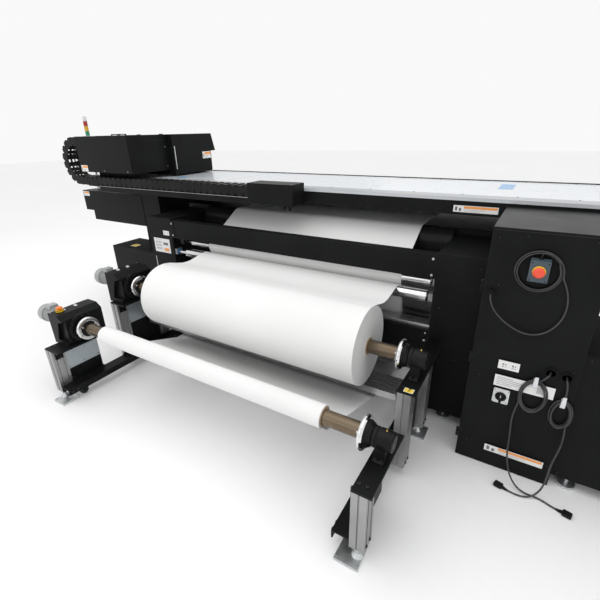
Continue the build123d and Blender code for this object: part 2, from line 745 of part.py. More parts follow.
def nose(front):
    """The platen's front or back nose as a station."""
    y = PLATEN_FRONT + NOSE_RADIUS if front else PLATEN_BACK - NOSE_RADIUS
    return (y, PLATEN_TOP - NOSE_RADIUS, NOSE_RADIUS, 1)


def web_supply():
    """The blank media from the big roll to the platen's front nose."""
    stations = [
        (*UNWIND_AXIS, UNWIND_RADIUS, 1),
        (*SILVER_AXIS, ROLLER_RADIUS, 1),
        (*DANCER_AXIS, ROLLER_RADIUS, -1),
        (*GREY_AXIS, ROLLER_RADIUS, 1),
        nose(True),
    ]
    return web(stations, UNWIND_X)


def web_printed():
    """The printed media over the platen, down, and under the machine to the small roll."""
    stations = [
        (*GREY_AXIS, ROLLER_RADIUS, 1),
        nose(True),
        nose(False),
        (*GUIDE_AXIS, GUIDE_RADIUS, 1),
        (*LOW_AXIS, ROLLER_RADIUS, 1),
        (*TAKEUP_AXIS, TAKEUP_RADIUS, 1),
    ]
    return web(stations, UNWIND_X)[1:]


# ---------------------------------------------------------------- carriage


def carriage_frame():
    """The bed plate over the deck and the plate that hangs down behind the rails."""
    left = CARRIAGE_LEFT + 15
    bed_z = (HOOD_BOTTOM, HOOD_BOTTOM + 12)
    frame = block((left, HOOD_RIGHT - 15), (FRONT_BACK + 10, HOOD_BACK), bed_z)
    frame += block((left, FRAME_RIGHT), (HOOD_BACK, DECK_BACK + 20), bed_z)
    drop_y = (DECK_BACK + 20, DECK_BACK + 35)
    frame += block((left, HOOD_RIGHT - 15), drop_y, (HEAD_PLATE_Z[0] - 1, APRON_Z[1]))
    return frame + block((left, FRAME_RIGHT), drop_y, (APRON_Z[1], bed_z[1]))


def bearing_blocks():
    """Four bearing blocks that straddle the rails."""
    blocks = []
    for level in RAIL_LEVELS:
        for x in (CARRIAGE_LEFT + 90, HOOD_RIGHT - 170):
            y = (GIRDER_BACK + 4, DECK_BACK + 20)
            body = block((x, x + 80), y, (level - 29, level + 29))
            half = RAIL_WIDTH / 2 + SEAT_GAP
            groove_y = (y[0] - 1, GIRDER_BACK + RAIL_DEPTH + SEAT_GAP)
            groove = block((x - 1, x + 81), groove_y, (level - half, level + half))
            blocks.append(body - groove)
    return blocks


def carriage_cover():
    """The carriage's front housing: a chain band on its front, with the chain's channel through it."""
    x = (CARRIAGE_LEFT, FRONT_RIGHT)
    outline = [
        (0.0, CARRIAGE_BOTTOM),
        (FRONT_BACK, CARRIAGE_BOTTOM),
        (FRONT_BACK, COVER_SHOULDER),
        (BAND_BACK, COVER_SHOULDER),
        (BAND_BACK, CARRIAGE_TOP),
        (0.0, CARRIAGE_TOP),
    ]
    channel_top = CHAIN_FLOOR + 2 * CHAIN_OUTER + 1
    channel_y = (CHAIN_Y[0] - 3, CHAIN_Y[1] + 3)
    channel = block((x[0] - 1, x[1] - SHEET), channel_y, (channel_top - CHAIN_HEIGHT - 3, channel_top))
    room_x = (x[0] + SHEET, x[1] - SHEET)
    room = block(room_x, (SHEET, FRONT_BACK - SHEET), (CARRIAGE_BOTTOM - 1, COVER_ROOM_TOP))
    shoulder_z = (COVER_ROOM_TOP - 1, COVER_SHOULDER - SHEET)
    room += block(room_x, (BAND_BACK + SHEET, FRONT_BACK - SHEET), shoulder_z)
    return slab_x(outline, x) - channel - room


def carriage_lid():
    """The lid behind the chain band, hinged at its back edge."""
    x = (CARRIAGE_LEFT, FRONT_RIGHT)
    front = BAND_BACK + 1.5
    lid = block(x, (front, FRONT_BACK), (COVER_SHOULDER + SEAT_GAP, CARRIAGE_TOP))
    return lid - block((x[0] + 4, x[1] - 4), (front + 4, FRONT_BACK - 4), (COVER_SHOULDER, CARRIAGE_TOP - 4))


def carriage_hood():
    """The rear housing with the sloped lip and the apron over the print heads."""
    x = (CARRIAGE_LEFT, HOOD_RIGHT)
    outline = [
        (FRONT_BACK + 1.5, HOOD_BOTTOM + 12),
        (HOOD_BACK, HOOD_BOTTOM + 12),
        (HOOD_BACK, LIP_BOTTOM),
        (HOOD_LIP, LIP_BOTTOM),
        (SLOPE_BACK, CARRIAGE_TOP),
        (FRONT_BACK + 1.5, CARRIAGE_TOP),
    ]
    inner = [
        (FRONT_BACK + 5, HOOD_BOTTOM + 11),
        (HOOD_BACK - 4, HOOD_BOTTOM + 11),
        (HOOD_BACK - 4, CARRIAGE_TOP - 4),
        (FRONT_BACK + 5, CARRIAGE_TOP - 4),
    ]
    return slab_x(outline, x) - slab_x(inner, (x[0] + 4, x[1] - 4))


def head_apron():
    """The sheet cover round the print heads, open below."""
    x = (CARRIAGE_LEFT + 15, HOOD_RIGHT - 15)
    front = DECK_BACK + 35
    apron = block(x, (front, APRON_BACK), APRON_Z)
    room_z = (APRON_Z[0] - 1, APRON_Z[1] - SHEET)
    return apron - block((x[0] + SHEET, x[1] - SHEET), (front - 1, APRON_BACK - SHEET), room_z)


def head_spots():
    """The X and Y of each print head."""
    y = (DECK_BACK + 50, DECK_BACK + 50 + HEAD_SIZE[1])
    lefts = [CARRIAGE_LEFT + 110 + n * HEAD_PITCH for n in range(HEAD_COUNT)]
    return [((x, x + HEAD_SIZE[0]), y) for x in lefts]


def print_heads():
    """A row of print heads over the platen."""
    return [block(x, y, (PLATEN_TOP + 6, HEAD_TOP)) for x, y in head_spots()]


def head_plate():
    """The plate that the print heads are set into."""
    plate = block((CARRIAGE_LEFT + 30, HOOD_RIGHT - 30), (DECK_BACK + 35, APRON_BACK - 8), HEAD_PLATE_Z)
    for x, y in head_spots():
        hole_x = (x[0] - SEAT_GAP, x[1] + SEAT_GAP)
        hole_y = (y[0] - SEAT_GAP, y[1] + SEAT_GAP)
        plate -= block(hole_x, hole_y, (HEAD_PLATE_Z[0] - 1, HEAD_PLATE_Z[1] + 1))
    return plate


def chain_run(x, z):
    """A straight run of the energy chain: its outer shape, hollow for the cables."""
    outer = block(x, CHAIN_Y, (z, z + CHAIN_HEIGHT))
    hollow_y = (CHAIN_Y[0] + 10, CHAIN_Y[1] - 10)
    return outer - block((x[0] - 1, x[1] + 1), hollow_y, (z + 10, z + CHAIN_HEIGHT - 10))


def chain_lower():
    """The run that lies in the tray."""
    return chain_run((CHAIN_LOOP_X, CHAIN_END + 20), CHAIN_FLOOR + SEAT_GAP)


def chain_upper():
    """The run that goes up to the carriage."""
    return chain_run((CHAIN_LOOP_X, CHAIN_TOW), CHAIN_FLOOR + SEAT_GAP + 2 * CHAIN_OUTER - CHAIN_HEIGHT)


def chain_loop():
    """The half turn at the chain's travelling end."""
    centre = (CHAIN_LOOP_X, CHAIN_FLOOR + SEAT_GAP + CHAIN_OUTER)
    ring = bar_y(centre, CHAIN_Y, CHAIN_OUTER)
    ring -= bar_y(centre, (CHAIN_Y[0] - 1, CHAIN_Y[1] + 1), CHAIN_OUTER - CHAIN_HEIGHT)
    hollow = bar_y(centre, (CHAIN_Y[0] + 10, CHAIN_Y[1] - 10), CHAIN_OUTER - 10)
    hollow -= bar_y(centre, (CHAIN_Y[0] + 9, CHAIN_Y[1] - 9), CHAIN_OUTER - CHAIN_HEIGHT + 10)
    half = block((CHAIN_LOOP_X - CHAIN_OUTER - 1, CHAIN_LOOP_X), (0, 200), (CHAIN_FLOOR - 10, 1700))
    return (ring - hollow) & half


# ---------------------------------------------------------------- door and its controls



def cabinet_door():
    """The front panel, with holes for the cables and three hinge knuckles on its left edge."""
    x = (CABINET_X[0] + 1, CABINET_X[1])
    door = block(x, (CABINET_FRONT, CABINET_FRONT + SHEET - 0.4), (3.0, CABINET_TOP - 2))
    for hole in HOLES:
        door -= bar_y(hole, (CABINET_FRONT - 1, CABINET_FRONT + SHEET + 1), 20)
    door -= bar_y(GLAND, (CABINET_FRONT - 1, CABINET_FRONT + SHEET + 1), 8)
    for level in HINGE_LEVELS:
        top = level + KNUCKLE
        door += bar_z(DOOR_HINGE, (level, top), 6)
        door += block((DOOR_HINGE[0], x[0] + 8), (DOOR_HINGE[1] - 1, CABINET_FRONT), (level, top))
        door -= bar_z(DOOR_HINGE, (level - 1, top + 1), 3 + SHAFT_CLEARANCE)
    return door


def hinge_pins():
    """The hinge pins and lower knuckles, on ears of the cabinet."""
    pins = []
    for level in HINGE_LEVELS:
        lower = (level - KNUCKLE, level - SEAT_GAP)
        pin = bar_z(DOOR_HINGE, (level - KNUCKLE, level + KNUCKLE), 3)
        pin += bar_z(DOOR_HINGE, lower, 6)
        ear = block((DOOR_HINGE[0], CABINET_X[0]), (DOOR_HINGE[1] + 2, CABINET_FRONT + 30), lower)
        pins.append(pin + ear)
    return pins


def door_fittings():
    """The main switch's plate and the cable gland."""
    x = (SWITCH[0] - 34, SWITCH[0] + 34)
    z = (SWITCH[1] - 37.5, SWITCH[1] + 37.5)
    plate = block(x, (CABINET_FRONT - 8, CABINET_FRONT), z)
    plate -= bar_y(SWITCH, (CABINET_FRONT - 9, CABINET_FRONT - 2), 9 + SHAFT_CLEARANCE)
    bore = CORD_DIAMETER / 2
    gland = bar_y(GLAND, (CABINET_FRONT - 20, CABINET_FRONT + 10), 7.9)
    gland += bar_y(GLAND, (CABINET_FRONT - 14, CABINET_FRONT), 13)
    gland -= bar_y(GLAND, (CABINET_FRONT - 21, CABINET_FRONT - 10), bore + SHAFT_CLEARANCE)
    return [plate, gland]


def switch_knob():
    """The rotary main switch: a round base with a grip bar."""
    y = CABINET_FRONT - 8
    knob = bar_y(SWITCH, (y - 16, y - 0.3), 24) + bar_y(SWITCH, (y - 1, CABINET_FRONT - 3), 9)
    return knob + block((SWITCH[0] - 6, SWITCH[0] + 6), (y - 34, y - 16), (SWITCH[1] - 23, SWITCH[1] + 23))


def estop_box():
    """The box of the emergency stop, its yellow collar and its cable entry."""
    x = (ESTOP[0] - ESTOP_SIZE[0] / 2, ESTOP[0] + ESTOP_SIZE[0] / 2)
    z = (ESTOP[1] - ESTOP_SIZE[1] / 2, ESTOP[1] + ESTOP_SIZE[1] / 2)
    face = CABINET_FRONT - ESTOP_DEPTH
    box = block(x, (face, CABINET_FRONT), z)
    box -= bar_y(ESTOP, (face - 1, face + 12), 12 + SHAFT_CLEARANCE)
    collar = bar_y(ESTOP, (face - 9, face), COLLAR_RADIUS)
    collar -= bar_y(ESTOP, (face - 10, face + 1), 12 + SHAFT_CLEARANCE)
    entry = bar_z((ESTOP[0], CABINET_FRONT - 12), (z[1], z[1] + 12), 7)
    return [box, collar, entry]


def estop_button():
    """The red mushroom on its stem."""
    face = CABINET_FRONT - ESTOP_DEPTH - 9
    head = bar_y(ESTOP, (face - BUTTON_TRAVEL - 14, face - BUTTON_TRAVEL - 0.5), 22)
    return head + bar_y(ESTOP, (face - BUTTON_TRAVEL - 1, face + 12), 12)


def stop_base():
    """The yellow base of the stop button on the front motor housing."""
    top = TAKEUP_AXIS[1] + 108
    ring = bar_z(STOP_SPOT, (top, top + 10), 26)
    return ring - bar_z(STOP_SPOT, (top + 1, top + 11), 9 + SHAFT_CLEARANCE)


def stop_button():
    """The orange mushroom of that button."""
    top = TAKEUP_AXIS[1] + 108 + 10
    return bar_z(STOP_SPOT, (top + 5.5, top + 18), 20) + bar_z(STOP_SPOT, (top - 3, top + 6), 9)


# ---------------------------------------------------------------- cords


def corner_radii(points):
    """A radius for each corner: 0.45 of its shorter run, over the tangent of half its turn."""
    radii = []
    for before, here, after in zip(points, points[1:], points[2:]):
        one = Vector(*here) - Vector(*before)
        two = Vector(*after) - Vector(*here)
        half_turn = math.radians(one.get_angle(two)) / 2
        radii.append(0.45 * min(one.length, two.length) / math.tan(half_turn))
    return radii


def cord_tube(name, points, diameter):
    """A cord's free stretch as a tube of straight runs joined by tangent arcs."""
    radii = corner_radii(points)
    route = FilletPolyline(*points, radius=radii)
    start = Plane(origin=route @ 0, z_dir=route % 0)
    tube = sweep(start * Circle(diameter / 2), path=route)
    length = route.length
    full = math.pi * diameter**2 / 4 * length
    share = tube.volume / full
    print(f"{name}: {length:.0f} mm, tightest radius {min(radii):.0f} mm, volume share {share:.3f}")
    return tube


def coil(centre, radii, y, thick):
    """A coil that hangs flat against the door: an oval ring."""
    outer = Ellipse(radii[0] + thick / 2, radii[1] + thick / 2)
    inner = Ellipse(radii[0] - thick / 2, radii[1] - thick / 2)
    plane = Plane(origin=(centre[0], y[1], centre[1]), x_dir=(1, 0, 0), z_dir=(0, -1, 0))
    return extrude(plane * (outer - inner), amount=y[1] - y[0])


def estop_cord():
    """The emergency stop's cord from its gland to its coil."""
    return cord_tube("estop_cord", ESTOP_ROUTE, CORD_DIAMETER)


def estop_coil():
    """The rest of that cord, hung in a coil round the box."""
    return coil(ESTOP_COIL, ESTOP_COIL_RADII, ESTOP_COIL_Y, 20.0)


def data_cord(name, top, tail):
    """A data lead: from its hole to its coil, and from the coil to its plug."""
    return [cord_tube(name + "_top", top, DATA_DIAMETER), cord_tube(name + "_tail", tail, DATA_DIAMETER)]


def plug_at(point, before):
    """A flat plug in line with a cord's last run."""
    last = Vector(*point)
    run = (last - Vector(*before)).normalized()
    level = Vector(run.X, run.Y, 0).normalized()
    plane = Plane(origin=(last.X, last.Y, 9.0), x_dir=level, z_dir=(0, 0, 1))
    return plane * (Pos(29, 0, 0) * Box(38, 34, 15)) + plane * (Pos(5.7, 0, -2) * Box(10.2, 14, 10))


def cord_plugs_and_ties():
    """The plugs on the two data leads and the white ties on their coils."""
    pieces = []
    for tail in (DATA_1_TAIL, DATA_2_TAIL):
        pieces.append(plug_at(tail[-1], tail[-2]))
    for centre, radii in ((COIL_1, COIL_1_RADII), (COIL_2, COIL_2_RADII)):
        z = centre[1] + radii[1]
        tie_y = (COIL_Y[0] - 4 - SOFT_GAP, COIL_Y[0] - SOFT_GAP)
        tie = block((centre[0] - 12, centre[0] + 8), tie_y, (z - 22, z + 30))
        pieces.append(tie)
    return pieces


NODES = {
    "side_columns": side_columns,
    "crossbars": lambda: [crossbar_tube(UPPER_BAR), crossbar_tube(LOWER_BAR), beam_upstand()],
    "aluminium_beams": aluminium_beams,
    "levelling_feet": levelling_feet,
    "platen": platen,
    "beam_girder": beam_girder,
    "beam_deck": beam_deck,
    "front_fascia": front_fascia,
    "beam_legs": beam_legs,
    "linear_rails": linear_rails,
    "chain_tray": chain_tray,
    "chain_anchor_box": chain_anchor_box,
    "side_boxes": side_boxes,
    "cabinet_shell": lambda: [cabinet_shell()] + hinge_pins(),
    "control_units": control_units,
    "tower_light": tower_light,
    "stand_posts": stand_posts,
    "stand_plates": stand_plates,
    "stand_rails": lambda: stand_rails() + stand_skirts() + wheel_forks(),
    "stand_panels": stand_panels,
    "stand_feet": stand_feet,
    "stand_cross_beam": stand_cross_beam,
    "motor_housings": lambda: motor_housings() + [stop_base()],
    "gear_motors": gear_motors,
    "pillow_blocks": pillow_blocks,
    "roller_brackets": roller_brackets,
    "web_supply": web_supply,
    "web_printed": web_printed,
    "left_wheel": stand_wheel,
    "right_wheel": lambda: both_stands(stand_wheel())[1],
    "takeup_shaft": lambda: [shaft(TAKEUP_AXIS)] + chucks(TAKEUP_AXIS),
    "takeup_roll": lambda: roll(TAKEUP_AXIS, TAKEUP_X, TAKEUP_RADIUS),
    "unwind_shaft": lambda: [shaft(UNWIND_AXIS)] + chucks(UNWIND_AXIS),
    "unwind_roll": lambda: roll(UNWIND_AXIS, UNWIND_X, UNWIND_RADIUS),
    "silver_roller": lambda: roller(SILVER_AXIS),
    "grey_roller": lambda: roller(GREY_AXIS),
    "dancer_roller": lambda: roller(DANCER_AXIS),
    "low_roller": lambda: roller(LOW_AXIS),
    "carriage_frame": carriage_frame,
    "bearing_blocks": bearing_blocks,
    "carriage_cover": carriage_cover,
    "carriage_hood": carriage_hood,
    "carriage_lid": carriage_lid,
    "print_heads": lambda: [head_apron(), head_plate()] + print_heads(),
    "chain_lower": chain_lower,
    "chain_upper": chain_upper,
    "chain_loop": chain_loop,
    "cabinet_door": cabinet_door,
    "door_fittings": door_fittings,
    "switch_knob": switch_knob,
    "estop_box": estop_box,
    "estop_button": estop_button,
    "stop_button": stop_button,
    "estop_cord": estop_cord,
    "estop_coil": estop_coil,
    "data_cord_1": lambda: data_cord("data_cord_1", DATA_1_TOP, DATA_1_TAIL),
    "data_coil_1": lambda: coil(COIL_1, COIL_1_RADII, COIL_Y, 24.0),
    "data_cord_2": lambda: data_cord("data_cord_2", DATA_2_TOP, DATA_2_TAIL),
    "data_coil_2": lambda: coil(COIL_2, COIL_2_RADII, COIL_Y, 20.0),
    "cord_plugs_and_ties": cord_plugs_and_ties,
}

os.makedirs("parts", exist_ok=True)
for node, make in NODES.items():
    made = make()
    pieces = made if isinstance(made, list) else [made]
    solids = [solid for piece in pieces for solid in piece.solids()]
    export_step(solids[0] if len(solids) == 1 else Compound(children=solids), f"parts/{node}.step")
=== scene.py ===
import math

import bmesh
import bpy
from mathutils import Matrix, Vector


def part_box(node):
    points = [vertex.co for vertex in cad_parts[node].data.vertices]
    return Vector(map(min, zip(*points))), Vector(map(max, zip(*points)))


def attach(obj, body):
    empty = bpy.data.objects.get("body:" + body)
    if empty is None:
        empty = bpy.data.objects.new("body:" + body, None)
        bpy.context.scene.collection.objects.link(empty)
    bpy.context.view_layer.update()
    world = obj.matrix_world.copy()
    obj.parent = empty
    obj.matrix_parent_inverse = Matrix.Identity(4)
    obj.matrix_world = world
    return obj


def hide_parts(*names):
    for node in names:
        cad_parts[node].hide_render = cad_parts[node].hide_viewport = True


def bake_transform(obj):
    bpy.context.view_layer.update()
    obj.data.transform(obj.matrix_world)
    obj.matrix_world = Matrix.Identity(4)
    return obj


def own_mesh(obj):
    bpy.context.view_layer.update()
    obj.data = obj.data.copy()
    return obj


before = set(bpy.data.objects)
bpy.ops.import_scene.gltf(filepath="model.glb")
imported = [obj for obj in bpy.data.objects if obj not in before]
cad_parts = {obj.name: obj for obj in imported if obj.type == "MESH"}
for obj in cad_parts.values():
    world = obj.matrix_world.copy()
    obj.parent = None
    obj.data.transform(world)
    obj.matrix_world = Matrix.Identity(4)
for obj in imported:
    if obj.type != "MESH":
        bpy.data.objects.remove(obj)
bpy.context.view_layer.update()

# Lengths are written in millimetres, in the CAD frame, and become metres as each piece is made.
MM = 0.001


def span(node):
    """The lowest and highest corners of a CAD node, in millimetres."""
    low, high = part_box(node)
    return low / MM, high / MM


DOOR = span("cabinet_door")[0].y
GLAND = (1275, 938)
CABLE_HOLES = ((1562, 612), (1622, 606))
CROSSBAR_LEVELS = ((872, 1004), (420, 530))
COLUMN = span("side_columns")
CARRIAGE = span("carriage_cover")
HOOD = span("carriage_hood")
DECK = span("beam_deck")
FASCIA = span("front_fascia")
SUPPLY_ROLL = span("unwind_roll")
SMALL_ROLL = span("takeup_roll")
POSTS = span("stand_posts")
HOUSINGS = span("motor_housings")
BEARINGS = span("pillow_blocks")
PLATES = span("stand_plates")

# ---------------------------------------------------------------- camera

camera = bpy.data.objects.new("camera", bpy.data.cameras.new("camera"))
bpy.context.scene.collection.objects.link(camera)
camera.data.sensor_width = 36.0
camera.data.lens = 23.541
camera.data.clip_start = 0.05
right = Vector((0.8536, 0.5204, -0.0230)).normalized()
down = Vector((0.1879, -0.3489, -0.9181)).normalized()
ahead = right.cross(down)
down = ahead.cross(right)
turned = Matrix((right, -down, -ahead)).transposed().to_4x4()
camera.matrix_world = Matrix.Translation((1.40, -2.15, 1.60)) @ turned
bpy.context.scene.camera = camera
bpy.context.scene.view_settings.view_transform = "Standard"

# ---------------------------------------------------------------- materials


def link(tree, output, target):
    tree.links.new(output, target)


def coordinates(tree, stretch):
    """Object coordinates, which are the CAD frame's own, stretched for a grain."""
    source = tree.nodes.new("ShaderNodeTexCoord")
    mapping = tree.nodes.new("ShaderNodeMapping")
    mapping.inputs["Scale"].default_value = stretch
    link(tree, source.outputs["Object"], mapping.inputs["Vector"])
    return mapping.outputs["Vector"]


def noise(tree, scale, stretch=(1, 1, 1), detail=3.0):
    node = tree.nodes.new("ShaderNodeTexNoise")
    node.inputs["Scale"].default_value = scale
    node.inputs["Detail"].default_value = detail
    link(tree, coordinates(tree, stretch), node.inputs["Vector"])
    return node.outputs["Fac"]


def ramp(tree, value, stops):
    """A colour ramp: stops are (position, colour)."""
    node = tree.nodes.new("ShaderNodeValToRGB")
    elements = node.color_ramp.elements
    while len(elements) < len(stops):
        elements.new(0.5)
    for element, (position, colour) in zip(elements, stops):
        element.position = position
        element.color = (*colour, 1)
    link(tree, value, node.inputs["Fac"])
    return node.outputs["Color"]


def fit(tree, value, low, high, new_low, new_high):
    node = tree.nodes.new("ShaderNodeMapRange")
    for name, number in (("From Min", low), ("From Max", high), ("To Min", new_low), ("To Max", new_high)):
        node.inputs[name].default_value = number
    link(tree, value, node.inputs["Value"])
    return node.outputs["Result"]


def math_node(tree, operation, first, second=None):
    node = tree.nodes.new("ShaderNodeMath")
    node.operation = operation
    for socket, value in zip(node.inputs, (first, second)):
        if isinstance(value, (int, float)):
            socket.default_value = value
        elif value is not None:
            link(tree, value, socket)
    return node.outputs[0]


def blend_colour(tree, share, first, second):
    node = tree.nodes.new("ShaderNodeMix")
    node.data_type = "RGBA"
    link(tree, share, node.inputs["Factor"])
    for name, value in (("A", first), ("B", second)):
        socket = [s for s in node.inputs if s.name == name and s.type == "RGBA"][0]
        if isinstance(value, tuple):
            socket.default_value = (*value, 1)
        else:
            link(tree, value, socket)
    return [s for s in node.outputs if s.type == "RGBA"][0]


def relief(tree, shader, height, strength, depth=0.0004):
    bump = tree.nodes.new("ShaderNodeBump")
    bump.inputs["Strength"].default_value = strength
    bump.inputs["Distance"].default_value = depth
    link(tree, height, bump.inputs["Height"])
    link(tree, bump.outputs["Normal"], shader.inputs["Normal"])


def painted_highlight_edges(tree, colour, painted_highlight, width, amount):
    """Mixes a painted highlight colour in along the edges, found as the places that a bevel would round."""
    bevel = tree.nodes.new("ShaderNodeBevel")
    bevel.samples = 4
    bevel.inputs["Radius"].default_value = width
    geometry = tree.nodes.new("ShaderNodeNewGeometry")
    dot = tree.nodes.new("ShaderNodeVectorMath")
    dot.operation = "DOT_PRODUCT"
    link(tree, bevel.outputs["Normal"], dot.inputs[0])
    link(tree, geometry.outputs["Normal"], dot.inputs[1])
    edge = fit(tree, dot.outputs["Value"], 0.99, 0.80, 0.0, amount)
    return blend_colour(tree, edge, colour, painted_highlight)


def material(name, dark, light, rough, metal=0.0, grain=700.0, bump=0.2, blotch=5.0, stretch=(1, 1, 1),
             spread=0.06, coat=0.0, edge_painted_highlight=None, edge_painted_highlight_width=0.0015, edge_painted_highlight_amount=0.6):
    """A finish with two tones in slow blotches, a fine grain in relief and uneven gloss."""
    made = bpy.data.materials.new(name + "_look")
    made.use_nodes = True
    tree = made.node_tree
    shader = tree.nodes["Principled BSDF"]
    shader.inputs["Metallic"].default_value = metal
    shader.inputs["Coat Weight"].default_value = coat
    shader.inputs["Coat Roughness"].default_value = 0.12
    slow = noise(tree, blotch)
    fine = noise(tree, grain, stretch)
    both = math_node(tree, "ADD", math_node(tree, "MULTIPLY", slow, 0.65),
                     math_node(tree, "MULTIPLY", fine, 0.35))
    colour = ramp(tree, both, [(0.36, dark), (0.64, light)])
    # painted highlight: a lighter colour mixed in along the edges
    if edge_painted_highlight:
        colour = painted_highlight_edges(tree, colour, edge_painted_highlight, edge_painted_highlight_width, edge_painted_highlight_amount)
    link(tree, colour, shader.inputs["Base Color"])
    link(tree, fit(tree, both, 0.3, 0.7, rough - spread, rough + spread), shader.inputs["Roughness"])
    relief(tree, shader, fine, bump)
    made.diffuse_color = (*light, 1)
    return made


def grey(value, tint=(1.0, 1.0, 1.0)):
    return tuple(value * t for t in tint)


ALONG_X = (0.02, 1, 1)
ALONG_Z = (1, 1, 0.02)
COOL = (0.96, 1.0, 1.05)

# The edge colours given to the finishes below paint a highlight along their edges.
LOOK = {
    "black_powder": material("black_powder", grey(0.0062, COOL), grey(0.0100, COOL), 0.42, grain=1300,
                             bump=0.22,
                             edge_painted_highlight=grey(0.085), edge_painted_highlight_amount=0.55),
    "deck_grey": material("deck_grey", (0.51, 0.535, 0.56), (0.535, 0.56, 0.585), 0.27, grain=500,
                          bump=0.05, coat=0.15),
    "deck_strip": material("deck_strip", (0.26, 0.27, 0.28), (0.31, 0.32, 0.33), 0.36, grain=500, bump=0.05),
    "slotted_aluminium": material("slotted_aluminium", grey(0.30), grey(0.40), 0.40, metal=0.9, grain=900,
                                  stretch=ALONG_Z, bump=0.10, edge_painted_highlight=grey(0.85), edge_painted_highlight_amount=0.35),
    "beam_aluminium": material("beam_aluminium", grey(0.46), grey(0.60), 0.34, metal=0.9, grain=900,
                               stretch=ALONG_X, bump=0.10),
    "zinc_steel": material("zinc_steel", (0.50, 0.52, 0.53), (0.66, 0.68, 0.68), 0.34, metal=0.85, grain=260,
                           bump=0.08, blotch=28),
    "roller_steel": material("roller_steel", grey(0.60), grey(0.74), 0.16, metal=1.0, grain=800,
                             stretch=ALONG_X,
                             bump=0.05, spread=0.04),
    "rail_steel": material("rail_steel", grey(0.38), grey(0.50), 0.25, metal=1.0, grain=800,
                           stretch=ALONG_X, bump=0.05),
    "chrome": material("chrome", grey(0.72), grey(0.82), 0.09, metal=1.0, grain=400, bump=0.02, spread=0.03),
    "chain_plastic": material("chain_plastic", grey(0.010), grey(0.018), 0.42, grain=420, bump=0.12,
                              edge_painted_highlight=grey(0.06), edge_painted_highlight_width=0.002, edge_painted_highlight_amount=0.5),
    "motor_grey": material("motor_grey", (0.30, 0.31, 0.31), (0.38, 0.39, 0.39), 0.40, grain=320, bump=0.22,
                           edge_painted_highlight=(0.74, 0.74, 0.73), edge_painted_highlight_amount=0.4),
    "bearing_black": material("bearing_black", grey(0.006), grey(0.011), 0.34, grain=260, bump=0.05,
                              coat=0.08),
    "unit_grey": material("unit_grey", (0.36, 0.37, 0.37), (0.44, 0.45, 0.45), 0.5, grain=500, bump=0.1),
    "wheel_rubber": material("wheel_rubber", grey(0.012), grey(0.022), 0.68, grain=900, bump=0.3),
    "estop_slate": material("estop_slate", (0.040, 0.060, 0.075), (0.055, 0.080, 0.098), 0.42, grain=500,
                            bump=0.12,
                            edge_painted_highlight=(0.16, 0.19, 0.21), edge_painted_highlight_amount=0.5),
    "switch_plate": material("switch_plate", (0.62, 0.63, 0.64), (0.72, 0.73, 0.74), 0.36, grain=500,
                             bump=0.06),
    "knob_black": material("knob_black", grey(0.008), grey(0.014), 0.28, grain=400, bump=0.08),
    "button_red": material("button_red", (0.72, 0.055, 0.02), (0.88, 0.085, 0.03), 0.30, grain=300,
                           bump=0.05, coat=0.3),
    "button_orange": material("button_orange", (0.86, 0.16, 0.02), (0.95, 0.22, 0.03), 0.34, grain=300,
                              bump=0.06),
    "signal_yellow": material("signal_yellow", (0.80, 0.50, 0.01), (0.92, 0.60, 0.02), 0.36, grain=300,
                              bump=0.05),
    "cord_black": material("cord_black", grey(0.026), grey(0.044), 0.30, grain=900, bump=0.16),
    "plug_black": material("plug_black", grey(0.010), grey(0.017), 0.44, grain=700, bump=0.2),
    "tie_white": material("tie_white", (0.62, 0.63, 0.66), (0.76, 0.77, 0.79), 0.8, grain=1500, bump=0.6),
    "head_grey": material("head_grey", (0.022, 0.023, 0.025), (0.034, 0.035, 0.037), 0.42, grain=500,
                          bump=0.1),
    "card_brown": material("card_brown", (0.30, 0.20, 0.12), (0.40, 0.28, 0.17), 0.85, grain=600, bump=0.3),
    "brass": material("brass", (0.55, 0.36, 0.10), (0.70, 0.48, 0.16), 0.25, metal=1.0, grain=500, bump=0.05),
    "bolt_dark": material("bolt_dark", grey(0.016), grey(0.035), 0.30, metal=0.5, grain=700, bump=0.08),
    "bolt_bright": material("bolt_bright", grey(0.42), grey(0.58), 0.28, metal=0.95, grain=500, bump=0.05),
    "label_white": material("label_white", (0.74, 0.74, 0.73), (0.82, 0.82, 0.81), 0.45, grain=400,
                            bump=0.03),
    "label_orange": material("label_orange", (0.80, 0.30, 0.07), (0.88, 0.37, 0.10), 0.45, grain=400,
                             bump=0.03),
    "label_ink": material("label_ink", (0.10, 0.10, 0.11), (0.22, 0.22, 0.23), 0.5, grain=900, bump=0.03),
    "label_pale": material("label_pale", (0.40, 0.40, 0.41), (0.60, 0.60, 0.61), 0.5, grain=900, bump=0.03),
    "label_yellow": material("label_yellow", (0.80, 0.55, 0.04), (0.90, 0.66, 0.08), 0.45, grain=400,
                             bump=0.03),
    "tape_blue": material("tape_blue", (0.06, 0.20, 0.46), (0.22, 0.42, 0.62), 0.35, grain=120, bump=0.1,
                          blotch=60),
    "fitting_blue": material("fitting_blue", (0.03, 0.10, 0.20), (0.05, 0.16, 0.30), 0.35, grain=400,
                             bump=0.08),
}


def bronze_look():
    """Hard-anodised bronze with fine turning marks round the shaft."""
    made = material("bronze_shaft", (0.125, 0.095, 0.062), (0.17, 0.132, 0.09), 0.26, metal=0.85, grain=900,
                    stretch=(1, 0.05, 0.05), bump=0.12, spread=0.08)
    return made


